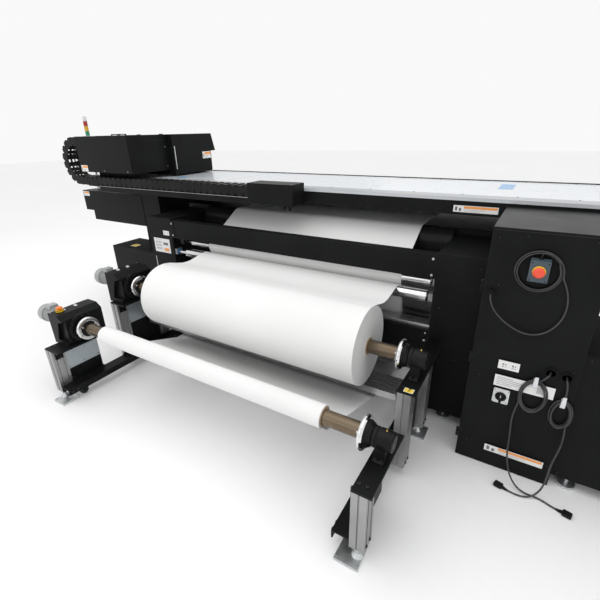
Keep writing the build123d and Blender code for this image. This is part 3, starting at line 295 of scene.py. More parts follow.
def paper_look(name, low, high, rings=None):
    """Coated paper: near white, faint fibres. With rings=(Y, Z) it is a roll's end, layer on layer."""
    made = bpy.data.materials.new(name + "_look")
    made.use_nodes = True
    tree = made.node_tree
    shader = tree.nodes["Principled BSDF"]
    fibres = noise(tree, 420.0, (1, 2.2, 1), 5.0)
    slow = noise(tree, 2.2)
    both = math_node(tree, "ADD", math_node(tree, "MULTIPLY", fibres, 0.4),
                     math_node(tree, "MULTIPLY", slow, 0.6))
    height = fibres
    if rings:
        source = tree.nodes.new("ShaderNodeTexCoord")
        apart = tree.nodes.new("ShaderNodeSeparateXYZ")
        link(tree, source.outputs["Object"], apart.inputs[0])
        across = math_node(tree, "SUBTRACT", apart.outputs["Y"], rings[0] * MM)
        above = math_node(tree, "SUBTRACT", apart.outputs["Z"], rings[1] * MM)
        squares = math_node(tree, "ADD", math_node(tree, "POWER", across, 2.0),
                            math_node(tree, "POWER", above, 2.0))
        layers = tree.nodes.new("ShaderNodeTexNoise")
        layers.noise_dimensions = "1D"
        layers.inputs["Scale"].default_value = 420.0
        layers.inputs["Detail"].default_value = 4.0
        link(tree, math_node(tree, "SQRT", squares), layers.inputs["W"])
        both = layers.outputs["Fac"]
        height = layers.outputs["Fac"]
    link(tree, ramp(tree, both, [(0.3, low), (0.7, high)]), shader.inputs["Base Color"])
    link(tree, fit(tree, both, 0.3, 0.7, 0.62, 0.74), shader.inputs["Roughness"])
    relief(tree, shader, height, 0.35 if rings else 0.08)
    return made


def galvanised_look():
    """Zinc spangle: crystals a few millimetres across, each with its own grey."""
    made = bpy.data.materials.new("galvanised_sheet_look")
    made.use_nodes = True
    tree = made.node_tree
    shader = tree.nodes["Principled BSDF"]
    shader.inputs["Metallic"].default_value = 0.75
    cells = tree.nodes.new("ShaderNodeTexVoronoi")
    cells.inputs["Scale"].default_value = 170.0
    link(tree, coordinates(tree, (1, 1, 1)), cells.inputs["Vector"])
    tone = tree.nodes.new("ShaderNodeSeparateColor")
    link(tree, cells.outputs["Color"], tone.inputs[0])
    link(tree, ramp(tree, tone.outputs[0], [(0, (0.42, 0.47, 0.50)), (1, (0.49, 0.54, 0.57))]),
         shader.inputs["Base Color"])
    link(tree, fit(tree, tone.outputs[1], 0, 1, 0.30, 0.46), shader.inputs["Roughness"])
    relief(tree, shader, cells.outputs["Distance"], 0.03)
    return made


def table_look():
    """Black hard-anodised table with rows of small vacuum holes in its top, drawn as spots of painted shade
    with a dip in relief.
    """
    made = material("table_black", grey(0.010), grey(0.017), 0.30, grain=800, bump=0.05)
    tree = made.node_tree
    shader = tree.nodes["Principled BSDF"]
    grid = tree.nodes.new("ShaderNodeVectorMath")
    grid.operation = "FRACTION"
    link(tree, coordinates(tree, (50, 50, 0)), grid.inputs[0])
    offset = tree.nodes.new("ShaderNodeVectorMath")
    offset.operation = "DISTANCE"
    link(tree, grid.outputs["Vector"], offset.inputs[0])
    offset.inputs[1].default_value = (0.5, 0.5, 0.0)
    # painted shade: each hole is a near-black spot, standing for the shade inside it
    hole = fit(tree, offset.outputs["Value"], 0.055, 0.085, 1.0, 0.0)
    colour = shader.inputs["Base Color"].links[0].from_socket
    link(tree, blend_colour(tree, hole, colour, grey(0.001)), shader.inputs["Base Color"])
    relief(tree, shader, math_node(tree, "SUBTRACT", 1.0, hole), 0.5, 0.001)
    return made


def lens_look(name, low, high):
    """A coloured translucent lens."""
    made = material(name, low, high, 0.22, grain=260, bump=0.06)
    made.node_tree.nodes["Principled BSDF"].inputs["Transmission Weight"].default_value = 0.35
    return made


UNWIND_AXIS = ((SUPPLY_ROLL[0].y + SUPPLY_ROLL[1].y) / 2, (SUPPLY_ROLL[0].z + SUPPLY_ROLL[1].z) / 2)
TAKEUP_AXIS = ((SMALL_ROLL[0].y + SMALL_ROLL[1].y) / 2, (SMALL_ROLL[0].z + SMALL_ROLL[1].z) / 2)

LOOK["bronze_shaft"] = bronze_look()
LOOK["media_white"] = paper_look("media_white", (0.74, 0.74, 0.735), (0.80, 0.80, 0.795))
LOOK["supply_end"] = paper_look("supply_end", (0.60, 0.60, 0.595), (0.76, 0.76, 0.755), UNWIND_AXIS)
LOOK["small_end"] = paper_look("small_end", (0.60, 0.60, 0.595), (0.76, 0.76, 0.755), TAKEUP_AXIS)
LOOK["galvanised_sheet"] = galvanised_look()
LOOK["table_black"] = table_look()
LOOK["lens_clear"] = lens_look("lens_clear", (0.42, 0.72, 0.66), (0.55, 0.82, 0.76))
LOOK["lens_green"] = lens_look("lens_green", (0.01, 0.26, 0.12), (0.02, 0.36, 0.17))
LOOK["lens_amber"] = lens_look("lens_amber", (0.80, 0.42, 0.01), (0.92, 0.54, 0.02))
LOOK["lens_red"] = lens_look("lens_red", (0.42, 0.01, 0.01), (0.58, 0.02, 0.02))
LOOK["tower_plastic"] = material("tower_plastic", (0.62, 0.63, 0.64), (0.74, 0.75, 0.76), 0.35, grain=400,
                                 bump=0.06)
for matt in ("black_powder", "table_black", "bearing_black", "chain_plastic", "knob_black", "plug_black"):
    LOOK[matt].node_tree.nodes["Principled BSDF"].inputs["Specular IOR Level"].default_value = 0.09

BEAM_NODES = ("aluminium_beams", "stand_cross_beam")
for node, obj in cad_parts.items():
    for place in obj.material_slots:
        slot = place.material.name.split(".")[0]
        if node in BEAM_NODES:
            slot = "beam_aluminium"
        place.material = LOOK[slot]

# ---------------------------------------------------------------- making pieces


class Piece:
    """A piece built up from simple forms, each with its own finish."""

    def __init__(self, name, body, slot, bevel=0.0):
        self.name = name
        self.body = body
        self.slot = slot
        self.bevel = bevel
        self.mesh = bmesh.new()
        self.finishes = []

    def face(self, corners, finish):
        if finish not in self.finishes:
            self.finishes.append(finish)
        made = self.mesh.faces.new(corners)
        made.material_index = self.finishes.index(finish)

    def loft(self, rings, finish, closed=True, ends=True):
        """Skins a list of rings of points."""
        made = [[self.mesh.verts.new(point) for point in ring] for ring in rings]
        count = len(made[0])
        for one, two in zip(made, made[1:]):
            for n in range(count if closed else count - 1):
                self.face((one[n], one[(n + 1) % count], two[(n + 1) % count], two[n]), finish)
        if ends and closed:
            self.face(made[0][::-1], finish)
            self.face(made[-1], finish)

    def prism(self, outline, axis, ends, finish):
        """An outline in the other two axes, drawn out along one axis."""
        self.loft([[lift(axis, end, point) for point in outline] for end in ends], finish)

    def block(self, x, y, z, finish):
        outline = [(x[0], y[0]), (x[1], y[0]), (x[1], y[1]), (x[0], y[1])]
        self.prism(outline, 2, z, finish)

    def lathe(self, profile, axis, centre, finish, steps=32, ends=True):
        """A profile of (along, radius) turned about a line along one axis."""
        rings = []
        for along, radius in profile:
            ring = []
            for n in range(steps):
                angle = 2 * math.pi * n / steps
                point = (centre[0] + radius * math.cos(angle), centre[1] + radius * math.sin(angle))
                ring.append(lift(axis, along, point))
            rings.append(ring)
        self.loft(rings, finish, ends=ends)

    def screw(self, point, axis, sign, radius, finish="bolt_dark", tall=None):
        """A socket screw whose head stands out along an axis."""
        tall = tall or radius
        base = point[axis]
        centre = [point[n] for n in range(3) if n != axis]
        profile = [(0, 1), (0.8, 1), (1, 0.85), (1, 0.5), (0.5, 0.5)]
        self.lathe([(base + sign * tall * a, radius * r) for a, r in profile], axis, centre, finish, 12)

    def done(self, replaces=(), smooth=35.0):
        """Turns the piece into an object that rides on its body."""
        bmesh.ops.recalc_face_normals(self.mesh, faces=self.mesh.faces)
        for face in self.mesh.faces:
            face.smooth = True
        for edge in self.mesh.edges:
            edge.smooth = len(edge.link_faces) == 2 and edge.calc_face_angle(0) < math.radians(smooth)
        bmesh.ops.scale(self.mesh, vec=(MM, MM, MM), verts=self.mesh.verts)
        data = bpy.data.meshes.new(self.name)
        self.mesh.to_mesh(data)
        self.mesh.free()
        obj = bpy.data.objects.new(self.name, data)
        bpy.context.scene.collection.objects.link(obj)
        for finish in self.finishes:
            data.materials.append(LOOK[finish])
        if self.bevel:
            modifier = obj.modifiers.new("soft_edges", "BEVEL")
            modifier.width = self.bevel * MM
            modifier.segments = 2
            modifier.limit_method = "ANGLE"
            modifier.angle_limit = math.radians(40)
        if self.body:
            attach(obj, self.body)
        if replaces:
            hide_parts(*replaces)
        return obj


def lift(axis, along, point):
    """A point from its place along one axis and its two other coordinates."""
    coordinates_list = list(point)
    coordinates_list.insert(axis, along)
    return tuple(coordinates_list)


def arc(centre, radius, first, last, steps):
    """Points along an arc, angles in degrees."""
    points = []
    for n in range(steps + 1):
        angle = math.radians(first + (last - first) * n / steps)
        points.append((centre[0] + radius * math.cos(angle), centre[1] + radius * math.sin(angle)))
    return points


# ---------------------------------------------------------------- cords


def cord_curve(name, points, diameter):
    """A cord's centreline on a NURBS spline through control points in millimetres."""
    curve = bpy.data.curves.new(name, "CURVE")
    curve.dimensions = "3D"
    curve.bevel_depth = diameter * MM / 2
    curve.bevel_resolution = 3
    curve.resolution_u = 6
    curve.use_fill_caps = True
    spline = curve.splines.new("NURBS")
    spline.points.add(len(points) - 1)
    for place, point in zip(spline.points, points):
        place.co = (*[c * MM for c in point], 1)
    spline.order_u = 3
    spline.use_endpoint_u = True
    obj = bpy.data.objects.new(name, curve)
    bpy.context.scene.collection.objects.link(obj)
    curve.materials.append(LOOK["cord_black"])
    return obj


def turns(centre, stations, first, last, step=24.0):
    """Points round a flat coil: stations are (half width, half height, Y), spread over its length."""
    count = max(2, round(abs(last - first) / step))
    points = []
    for n in range(count + 1):
        share = n / count
        place = share * (len(stations) - 1)
        low = min(int(place), len(stations) - 2)
        between = place - low
        wide, tall, y = [a + (b - a) * between for a, b in zip(stations[low], stations[low + 1])]
        angle = math.radians(first + (last - first) * share)
        points.append((centre[0] + wide * math.cos(angle), y, centre[1] + tall * math.sin(angle)))
    return points


ESTOP_ROUTE = [
    (1275, -381, 938), (1275, -405, 938), (1279, -420, 921), (1288, -424, 896), (1303, -416, 868),
    (1328, -404, 838), (1358, -394, 811), (1394, -388, 789), (1435, -384, 776), (1475, -383, 781),
    (1511, -382, 804), (1538, -381, 841), (1553, -380, 884), (1556, -380, 930), (1549, -380, 975),
    (1534, -380, 1014), (1519, -379, 1042),
]
ESTOP_END = [(1497, -381, 1103), (1482, -382, 1121), (1464, -382, 1132), (1448, -381, 1136),
             (1437, -380, 1134),
             (1432.5, -379, 1130), (1432, -379, 1125.5)]
DATA_1_TOP = [(1562, -366, 612), (1560, -386, 609), (1549, -399, 599), (1537, -399, 582), (1527, -388, 565)]
DATA_1_TAIL = [
    (1469, -384, 437), (1461, -392, 396), (1456, -400, 347), (1461, -401, 292), (1466, -400, 235),
    (1468, -404, 180), (1475, -416, 128), (1488, -434, 82), (1508, -452, 44), (1538, -466, 16),
    (1574, -474, 6), (1612, -472, 5), (1648, -478, 6), (1682, -492, 5), (1716, -500, 5),
]
DATA_2_TOP = [(1622, -366, 606), (1623, -386, 603), (1627, -399, 590), (1631, -401, 568), (1633, -396, 544),
              (1634, -389, 520), (1636, -385, 498)]
DATA_2_TAIL = [
    (1662, -384, 372), (1667, -394, 328), (1664, -412, 278), (1656, -418, 226), (1648, -424, 172),
    (1646, -434, 120), (1642, -448, 74), (1628, -466, 36), (1602, -486, 10), (1566, -500, 5),
    (1526, -502, 6), (1492, -492, 5),
]
ESTOP_TURNS = turns((1432, 1056),
                    [(87, 87, -380), (87, 87, -372), (79, 79, -371.5), (79, 79, -380), (75, 75, -381)],
                    10, 30 + 4 * 360 - 360)
DATA_1_TURNS = turns((1517, 478),
                     [(55, 86, -388), (46, 77, -389), (46, 77, -380.5), (46, 77, -372), (56, 86, -372),
                                   (56, 86, -384)], 98, 198 + 4 * 360)
DATA_2_TURNS = turns((1634, 424),
                     [(37, 70, -388), (34, 66, -389), (34, 66, -380.5), (34, 66, -372), (43, 75, -372),
                                   (43, 75, -384)], 62, -34 - 4 * 360)

estop_cord = cord_curve("estop_lead", ESTOP_ROUTE + ESTOP_TURNS + ESTOP_END, 7.0)
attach(estop_cord, "door")
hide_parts("estop_cord", "estop_coil")
data_cord_1 = cord_curve("data_lead_1", DATA_1_TOP + DATA_1_TURNS + DATA_1_TAIL, 8.0)
data_cord_2 = cord_curve("data_lead_2", DATA_2_TOP + DATA_2_TURNS + DATA_2_TAIL, 8.0)
for cord_obj, nodes in ((data_cord_1, ("data_cord_1", "data_coil_1")),
                        (data_cord_2, ("data_cord_2", "data_coil_2"))):
    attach(cord_obj, "door")
    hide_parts(*nodes)

# ---------------------------------------------------------------- plugs, ties and labels


def ribbon(piece, path, x, thick, finish, closed=False):
    """A strip of constant width along X that follows a path of (Y, Z) points."""
    rings = []
    count = len(path)
    for n, (y, z) in enumerate(path):
        before = path[n - 1] if n or closed else path[0]
        after = path[(n + 1) % count] if n + 1 < count or closed else path[-1]
        run = Vector((after[0] - before[0], after[1] - before[1])).normalized() * thick / 2
        outer = (y - run.y, z + run.x)
        inner = (y + run.y, z - run.x)
        rings.append([(x[0], *outer), (x[1], *outer), (x[1], *inner), (x[0], *inner)])
    if closed:
        rings.append(rings[0])
    piece.loft(rings, finish, ends=not closed)


def rounded(wide, tall, radius, steps=4):
    """A rounded rectangle about (0, 0)."""
    points = []
    for sign_u, sign_v, first in ((1, 1, 0), (-1, 1, 90), (-1, -1, 180), (1, -1, 270)):
        centre = (sign_u * (wide / 2 - radius), sign_v * (tall / 2 - radius))
        points += arc(centre, radius, first, first + 90, steps)
    return points


def plug(name, end, before):
    """A flat moulded plug with a ribbed, tapered strain relief, lying in line with its cord."""
    along = Vector((end[0] - before[0], end[1] - before[1], 0)).normalized()
    across = Vector((-along.y, along.x, 0))
    piece = Piece(name, "door", "plug_black")
    sections = [(-14, 9.2, 9.2, end[2])]
    for rib in range(4):
        start = -11 + rib * 5
        width = 10 + rib * 1.4
        sections += [(start, width, width * 0.9, end[2]),
                     (start + 2.6, width, width * 0.9, end[2] + 0.4 * rib),
                     (start + 2.8, width - 2, width * 0.72, end[2] + 0.4 * rib)]
    sections += [(9.5, 15, 11, 8), (10.5, 26, 13, 9), (14, 34, 15, 9), (44, 34, 15, 9), (48, 30, 12, 9)]
    rings = []
    for distance, wide, tall, height in sections:
        middle = Vector((end[0], end[1], max(height, tall / 2 + 0.3))) + along * distance
        ring = rounded(wide, tall, min(wide, tall) * 0.32)
        rings.append([tuple(middle + across * u + Vector((0, 0, v))) for u, v in ring])
    piece.loft(rings, "plug_black")
    for side in (-1, 1):
        root = Vector((end[0], end[1], 9)) + along * 48 + across * (7 * side)
        pin = [[tuple(root + along * d + across * (w * u) + Vector((0, 0, w * v))) for u,
                v in rounded(5, 5, 2.4, 2)]
               for d, w in ((-1, 1), (-0.2, 1), (0, 0.9))]
        piece.loft(pin, "brass")
    return piece.done()


def cable_tie(name, centre, tall):
    """A white hook-and-loop strap round the top of a coil, with its free end standing up."""
    top = centre[1] + tall
    wide = (centre[0] - 11, centre[0] + 7)
    piece = Piece(name, "door", "switch_plate")
    loop = [(-394.8, top + 8), (-396.4, top - 4), (-396.2, top - 20), (-390, top - 28), (-378, top - 29),
            (-369.4, top - 22), (-368.6, top - 2), (-372, top + 8), (-384, top + 11)]
    ribbon(piece, loop, wide, 1.5, "tie_white", closed=True)
    tail = [(-396.4, top - 16), (-397.6, top - 6), (-396.8, top + 8), (-395, top + 20), (-396.6, top + 30)]
    ribbon(piece, tail, (wide[0] + 3, wide[1] - 1), 1.5, "tie_white")
    return piece.done()


plug_1 = plug("data_plug_1", DATA_1_TAIL[-1], DATA_1_TAIL[-2])
plug_2 = plug("data_plug_2", DATA_2_TAIL[-1], DATA_2_TAIL[-2])
tie_1 = cable_tie("data_tie_1", (1517, 478), 80)
tie_2 = cable_tie("data_tie_2", (1634, 424), 70)
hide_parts("cord_plugs_and_ties")


def label(name, body, axis, sign, place, corner, size, style):
    """A printed sticker: bars stand for its text, so nothing on it can be read."""
    piece = Piece(name, body, "switch_plate")
    height = {"base": 0.3, "mark": 0.45}
    (u, v), (wide, tall) = corner, size

    def patch(u0, v0, u1, v1, finish, layer="mark"):
        outline = [(u + u0 * wide, v + v0 * tall), (u + u1 * wide, v + v0 * tall),
                   (u + u1 * wide, v + v1 * tall), (u + u0 * wide, v + v1 * tall)]
        piece.prism(outline, axis, (place, place + sign * height[layer]), finish)

    def bars(u0, u1, v0, v1, count, finish="label_pale"):
        pitch = (v1 - v0) / count
        for n in range(count):
            ends = u1 - (u1 - u0) * 0.17 * ((n * 7 + 3) % 4)
            patch(u0, v0 + (n + 0.25) * pitch, ends, v0 + (n + 0.65) * pitch, finish)

    patch(0, 0, 1, 1, "label_white", "base")
    if style == "warning":
        patch(0.24, 0.55, 0.98, 0.92, "label_orange")
        bars(0.26, 0.96, 0.08, 0.48, 2)
        patch(0.04, 0.2, 0.09, 0.8, "label_ink")
        patch(0.13, 0.15, 0.18, 0.62, "label_ink")
    if style == "sheet":
        bars(0.08, 0.9, 0.84, 0.95, 2)
        for row in range(3):
            patch(0.08, 0.20 + row * 0.22, 0.48, 0.34 + row * 0.22, "label_pale")
        patch(0.60, 0.12, 0.90, 0.34, "label_orange")
        patch(0.58, 0.55, 0.88, 0.74, "label_ink")
    if style == "codes":
        for start in (0.14, 0.60):
            for row in range(5):
                for column in range(5):
                    if (row * 3 + column * 5 + row * column) % 3:
                        patch(start + column * 0.05, 0.24 + row * 0.11, start + column * 0.05 + 0.042,
                              0.24 + row * 0.11 + 0.095, "label_ink")
    if style == "rating":
        bars(0.04, 0.60, 0.12, 0.88, 5)
        patch(0.72, 0.2, 0.86, 0.75, "label_pale")
    if style == "caution":
        patch(0.06, 0.08, 0.94, 0.92, "label_yellow")
        patch(0.40, 0.30, 0.60, 0.42, "label_ink")
        patch(0.45, 0.42, 0.55, 0.72, "label_ink")
    return piece.done()


label("carriage_label", "carriage", 1, -1, CARRIAGE[0].y, (CARRIAGE[0].x + 10, CARRIAGE[0].z + 4), (96, 52),
      "warning")
label("hood_label", "carriage", 0, 1, HOOD[1].x, (763, 1381), (110, 60), "warning")
label("fascia_label", "root", 1, -1, FASCIA[0].y, (976, 1172), (226, 36), "warning")
label("tray_label", "root", 1, -1, FASCIA[0].y, (-1212, 1160), (210, 24), "warning")
label("service_label", "root", 1, -1, FASCIA[0].y, (-2546, 1058), (98, 44), "warning")
label("column_sheet", "root", 1, -1, COLUMN[0].y, (-1200, 740), (176, 112), "sheet")
label("column_note", "root", 1, -1, COLUMN[0].y, (-1080, 884), (66, 34), "rating")
label("door_codes", "door", 1, -1, DOOR, (1357, 578), (86, 44), "codes")
label("door_rating", "door", 1, -1, DOOR, (1354, 484), (240, 60), "rating")
label("door_warning", "door", 1, -1, DOOR, (1370, 96), (256, 38), "warning")
label("low_box_strip", "root", 2, 1, 717, (-1610, -90), (70, 60), "caution")
label("plate_caution", "root", 2, 1, PLATES[1].z, (1012, -664), (44, 34), "caution")

# ---------------------------------------------------------------- media


def tangent(first, second):
    """The straight between two stations (Y, Z, radius, side)."""
    (y0, z0, r0, s0), (y1, z1, r1, s1) = first, second
    length = math.hypot(y1 - y0, z1 - z0)
    ahead_y, ahead_z = (y1 - y0) / length, (z1 - z0) / length
    lean = (s0 * r0 - s1 * r1) / length
    rise = math.sqrt(1 - lean**2)
    normal = (lean * ahead_y - rise * ahead_z, lean * ahead_z + rise * ahead_y)
    start = (y0 + s0 * r0 * normal[0], z0 + s0 * r0 * normal[1])
    end = (y1 + s1 * r1 * normal[0], z1 + s1 * r1 * normal[1])
    return start, end


def web_path(stations):
    """The media's line in (Y, Z) round its stations: straights, and arcs of three degrees a step."""
    spans = [tangent(a, b) for a, b in zip(stations, stations[1:])]
    path = []
    for n, (start, end) in enumerate(spans):
        if n:
            y, z, radius, side = stations[n]
            first = math.degrees(math.atan2(path[-1][1] - z, path[-1][0] - y))
            last = math.degrees(math.atan2(start[1] - z, start[0] - y))
            turn = -((first - last) % 360) if side > 0 else (last - first) % 360
            path += arc((y, z), radius, first, first + turn, max(2, round(abs(turn) / 4)))[1:-1]
        count = max(1, round(math.dist(start, end) / 60))
        for step in range(count + 1):
            share = step / count
            path.append((start[0] + (end[0] - start[0]) * share, start[1] + (end[1] - start[1]) * share))
    return path


def media(name, node, stations, sag=0.0, first_gone=False):
    """One stretch of media over its rollers, with very slight waves and a sag in its first run."""
    path = web_path(stations)
    if first_gone:
        start = tangent(stations[0], stations[1])[1]
        path = path[min(range(len(path)), key=lambda n: math.dist(path[n], start)):]
    if sag:
        start, end = tangent(stations[0], stations[1])
        long = math.dist(start, end)
        free = [point for point in path if math.dist(point, start) < long and point[0] < end[0]]
        for n, (y, z) in enumerate(free):
            share = math.dist((y, z), start) / long
            path[n] = (y, z - sag * math.sin(math.pi * share) ** 2)
    low, high = span(node)
    columns = 40
    piece = Piece(name, "root", "media_white")
    rings = []
    for n, (y, z) in enumerate(path):
        before, after = path[max(n - 1, 0)], path[min(n + 1, len(path) - 1)]
        run = Vector((after[0] - before[0], after[1] - before[1])).normalized()
        ring = []
        for column in range(columns + 1):
            share = column / columns
            x = low.x + (high.x - low.x) * share
            wave = 0.22 * math.sin(9.2 * share + 0.021 * y + 0.4) * math.sin(23.0 * share + 0.017 * z)
            ring.append((x, y - run.y * wave, z + run.x * wave))
        rings.append(ring)
    piece.loft(rings, "media_white", closed=False, ends=False)
    obj = piece.done(replaces=(node,), smooth=60)
    thickness = obj.modifiers.new("paper", "SOLIDIFY")
    thickness.thickness = 0.5 * MM
    thickness.offset = 0
    return obj


def station(node, side, gap=0.8):
    """A roller as a station of the media's path, from its CAD node's box."""
    low, high = span(node)
    return ((low.y + high.y) / 2, (low.z + high.z) / 2, (high.z - low.z) / 2 + gap, side)


platen = span("platen")
NOSE = 90.8
front_nose = (platen[0].y + 90, platen[1].z - 90, NOSE, 1)
back_nose = (platen[1].y - 90, platen[1].z - 90, NOSE, 1)
guide_bar = (1080, 92, 30.8, 1)
supply = [station("unwind_roll", 1), station("silver_roller", 1), station("dancer_roller", -1),
          station("grey_roller", 1), front_nose]
media("supply_web", "web_supply", supply, sag=34.0)
printed = [station("grey_roller", 1), front_nose, back_nose, guide_bar, station("low_roller", 1),
           station("takeup_roll", 1)]
media("printed_web", "web_printed", printed, first_gone=True)


def roll(name, node, axis, body, end_finish):
    """A roll of media on its card core: wound edges a hair uneven, layers showing at its ends."""
    low, high = span(node)
    radius = (high.z - low.z) / 2
    piece = Piece(name, body, "media_white")
    left, right_end = low.x + 2, high.x - 2
    ends = []
    for n in range(9):
        share = n / 8
        depth = 0.7 * math.sin(n * 2.3) + 0.5 * math.sin(n * 5.1)
        ends.append((depth, 44.5 + (radius - 1.0 - 44.5) * share))
    profile = [(left + 1.2 + d, r) for d, r in ends]
    piece.lathe(profile[::-1] + [(left + 6, 44.4)], 0, axis, end_finish, 96, ends=False)
    piece.lathe([(right_end - 6, 44.4)] + [(right_end - 1.2 + d, r) for d, r in ends], 0, axis, end_finish,
                96,
                ends=False)
    barrel = [(profile[-1][0], radius - 1.0), (profile[-1][0] + 0.4, radius - 0.2), (left + 5, radius),
              (right_end - 5, radius), (right_end - 1.2 + ends[-1][0] - 0.4, radius - 0.2),
              (right_end - 1.2 + ends[-1][0], radius - 1.0)]
    piece.lathe(barrel, 0, axis, "media_white", 128, ends=False)
    piece.lathe([(low.x, 36), (low.x, 43.6), (high.x, 43.6), (high.x, 36)], 0, axis, "card_brown", 64)
    return piece.done(replaces=(node,), smooth=40)


roll("supply_roll", "unwind_roll", UNWIND_AXIS, "unwind", "supply_end")
roll("small_roll", "takeup_roll", TAKEUP_AXIS, "takeup", "small_end")

# ---------------------------------------------------------------- shafts, bearings and motors


def roll_shaft(name, node, axis, body):
    """An air shaft with its stub ends, and a chuck with a chromed hand ring each side."""
    low, high = span(node)
    piece = Piece(name, body, "bronze_shaft")
    left, right_end = -960.0, 964.0
    stub = [(low.x, 24.6), (left - 3, 24.6)]
    piece.lathe(stub, 0, axis, "bearing_black", 40)
    piece.lathe([(left, 34.9), (right_end, 34.9)], 0, axis, "bronze_shaft", 72)
    piece.lathe([(right_end + 3, 24.6), (high.x, 24.6)], 0, axis, "bearing_black", 40)
    piece.lathe([(right_end, 58), (right_end + 8, 57), (right_end + 22, 48), (right_end + 25, 44)], 0, axis,
                "bearing_black", 64)
    for inner, sign in ((left + 24, 1), (right_end - 24, -1)):
        outer = inner - 24 * sign
        ring = [(inner - sign * 2, 50), (inner - sign * 1, 66), (inner - sign * 3, 72)]
        ring += [(inner - sign * (6 + 4 * n),
                  72 + 4.6 * math.sin(math.radians(30 + 40 * n))) for n in range(4)]
        ring += [(outer + sign * 1, 70), (outer, 64), (outer + sign * 3, 52)]
        piece.lathe(ring, 0, axis, "chrome", 72)
        hub = [(inner + sign * 6, 40), (inner + sign * 5, 46), (inner - sign * 1, 52), (outer, 56),
               (outer - sign * 4, 50)]
        piece.lathe(hub, 0, axis, "bearing_black", 48)
        for lug in range(3):
            angle = math.radians(30 + 120 * lug)
            spot = (axis[0] + 46 * math.cos(angle), axis[1] + 46 * math.sin(angle))
            piece.screw((inner + sign * 3, *spot), 0, sign, 6, "bolt_bright")
            spoke = (axis[0] + 61 * math.cos(angle + 1), axis[1] + 61 * math.sin(angle + 1))
            piece.screw((inner - sign * 2, *spoke), 0, sign, 4, "bolt_dark", 3)
    return piece.done(replaces=(node,), smooth=32)


roll_shaft("supply_shaft", "unwind_shaft", UNWIND_AXIS, "unwind")
roll_shaft("small_shaft", "takeup_shaft", TAKEUP_AXIS, "takeup")


def bearing(piece, axis, floor):
    """A safety chuck's bearing: a stepped glossy barrel on a bolted foot, with a grease nipple."""
    low, high = BEARINGS
    left, right_end = low.x, high.x
    barrel = [(left, 27), (left, 40), (left + 3, 44), (left + 16, 44), (left + 18, 41), (left + 22, 41),
              (left + 24, 44), (right_end - 20, 44), (right_end - 17, 42), (right_end - 8, 42),
              (right_end - 2, 40),
              (right_end, 36), (right_end, 20)]
    piece.lathe(barrel, 0, axis, "bearing_black", 56)
    y, z = axis
    foot = [(y - 50, floor), (y + 50, floor), (y + 50, floor + 12), (y + 44, floor + 16),
            (y + 30, floor + 18),
            (y + 27, floor + 30), (y + 30, z - 20), (y + 20, z), (y - 20, z), (y - 30, z - 20),
            (y - 27, floor + 30),
            (y - 30, floor + 18), (y - 44, floor + 16), (y - 50, floor + 12)]
    piece.prism(foot, 0, (left + 14, right_end - 26), "bearing_black")
    for side in (-1, 1):
        for x in (left + 24, right_end - 36):
            piece.screw((x, y + side * 40, floor + 16), 2, 1, 6, "bolt_dark")
    piece.lathe([(z + 40, 4), (z + 47, 4), (z + 48, 2.5), (z + 52, 2.5), (z + 54, 1.5)], 2, (left + 52, y),
                "brass", 10)
    for n in range(4):
        angle = math.radians(45 + 90 * n)
        spot = (axis[0] + 30 * math.cos(angle), axis[1] + 30 * math.sin(angle))
        piece.screw((right_end, *spot), 0, 1, 3.6, "bolt_dark", 2)


bearings = Piece("roll_bearings", "root", "bearing_black", bevel=1.2)
bearing(bearings, TAKEUP_AXIS, 375)
bearing(bearings, UNWIND_AXIS, 505)
bearings.done(replaces=("pillow_blocks",))


def gear_motor(piece, axis, reach):
    """A parallel gear head, a finned motor and its fan cover, with a terminal box."""
    y, z = axis
    x = HOUSINGS[0].x
    head = [(y + u, z + 6 + v) for u, v in rounded(116, 116, 16)]
    piece.prism(head, 0, (x - 90, x - 62), "motor_grey")
    piece.prism([(y + u * 0.94, z + 6 + v * 0.94) for u, v in rounded(116, 116, 16)], 0, (x - 62, x - 58),
                "bolt_dark")
    piece.prism(head, 0, (x - 58, x), "motor_grey")
    body = [(x - 90, 50)]
    fins = 11
    for n in range(fins):
        start = x - 94 - n * (reach - 8) / fins
        body += [(start, 50.5), (start, 56), (start - (reach - 8) / fins * 0.45, 56),
                 (start - (reach - 8) / fins * 0.45, 50.5)]
    body += [(x - 90 - reach, 50)]
    piece.lathe(sorted(body, key=lambda p: -p[0]), 0, (y, z + 6), "motor_grey", 64)
    start = x - 90 - reach
    cover = [(start + 1, 52), (start + 1, 60), (start - 3, 60), (start - 4, 58.5), (start - 7, 58.5),
             (start - 8, 60),
             (start - 48, 60), (start - 56, 57), (start - 59, 50), (start - 60, 44), (start - 60, 20)]
    piece.lathe(cover, 0, (y, z + 6), "motor_grey", 64)
    for n in range(14):
        angle = 2 * math.pi * n / 14
        spot = (y + 35 * math.cos(angle), z + 6 + 35 * math.sin(angle))
        piece.lathe([(start - 58, 3.4), (start - 60.1, 3.4)], 0, spot, "knob_black", 10)
    piece.block((start + 14, start + 74), (y - 30, y + 34), (z + 58, z + 66), "motor_grey")
    piece.block((start + 18, start + 70), (y - 26, y + 30), (z + 66, z + 82), "motor_grey")
    for u in (start + 24, start + 64):
        for v in (y - 20, y + 24):
            piece.screw((u, v, z + 82), 2, 1, 3.2, "bolt_bright", 2)
    for side in (-1, 1):
        piece.lathe([(x - 62, 4), (x - 84, 4), (x - 90.5, 4)], 0, (y + side * 46, z + 54), "bolt_bright", 10)


motors = Piece("gear_motor_bodies", "root", "motor_grey", bevel=1.2)
gear_motor(motors, TAKEUP_AXIS, 150)
gear_motor(motors, UNWIND_AXIS, 110)
motors.done(replaces=("gear_motors",))

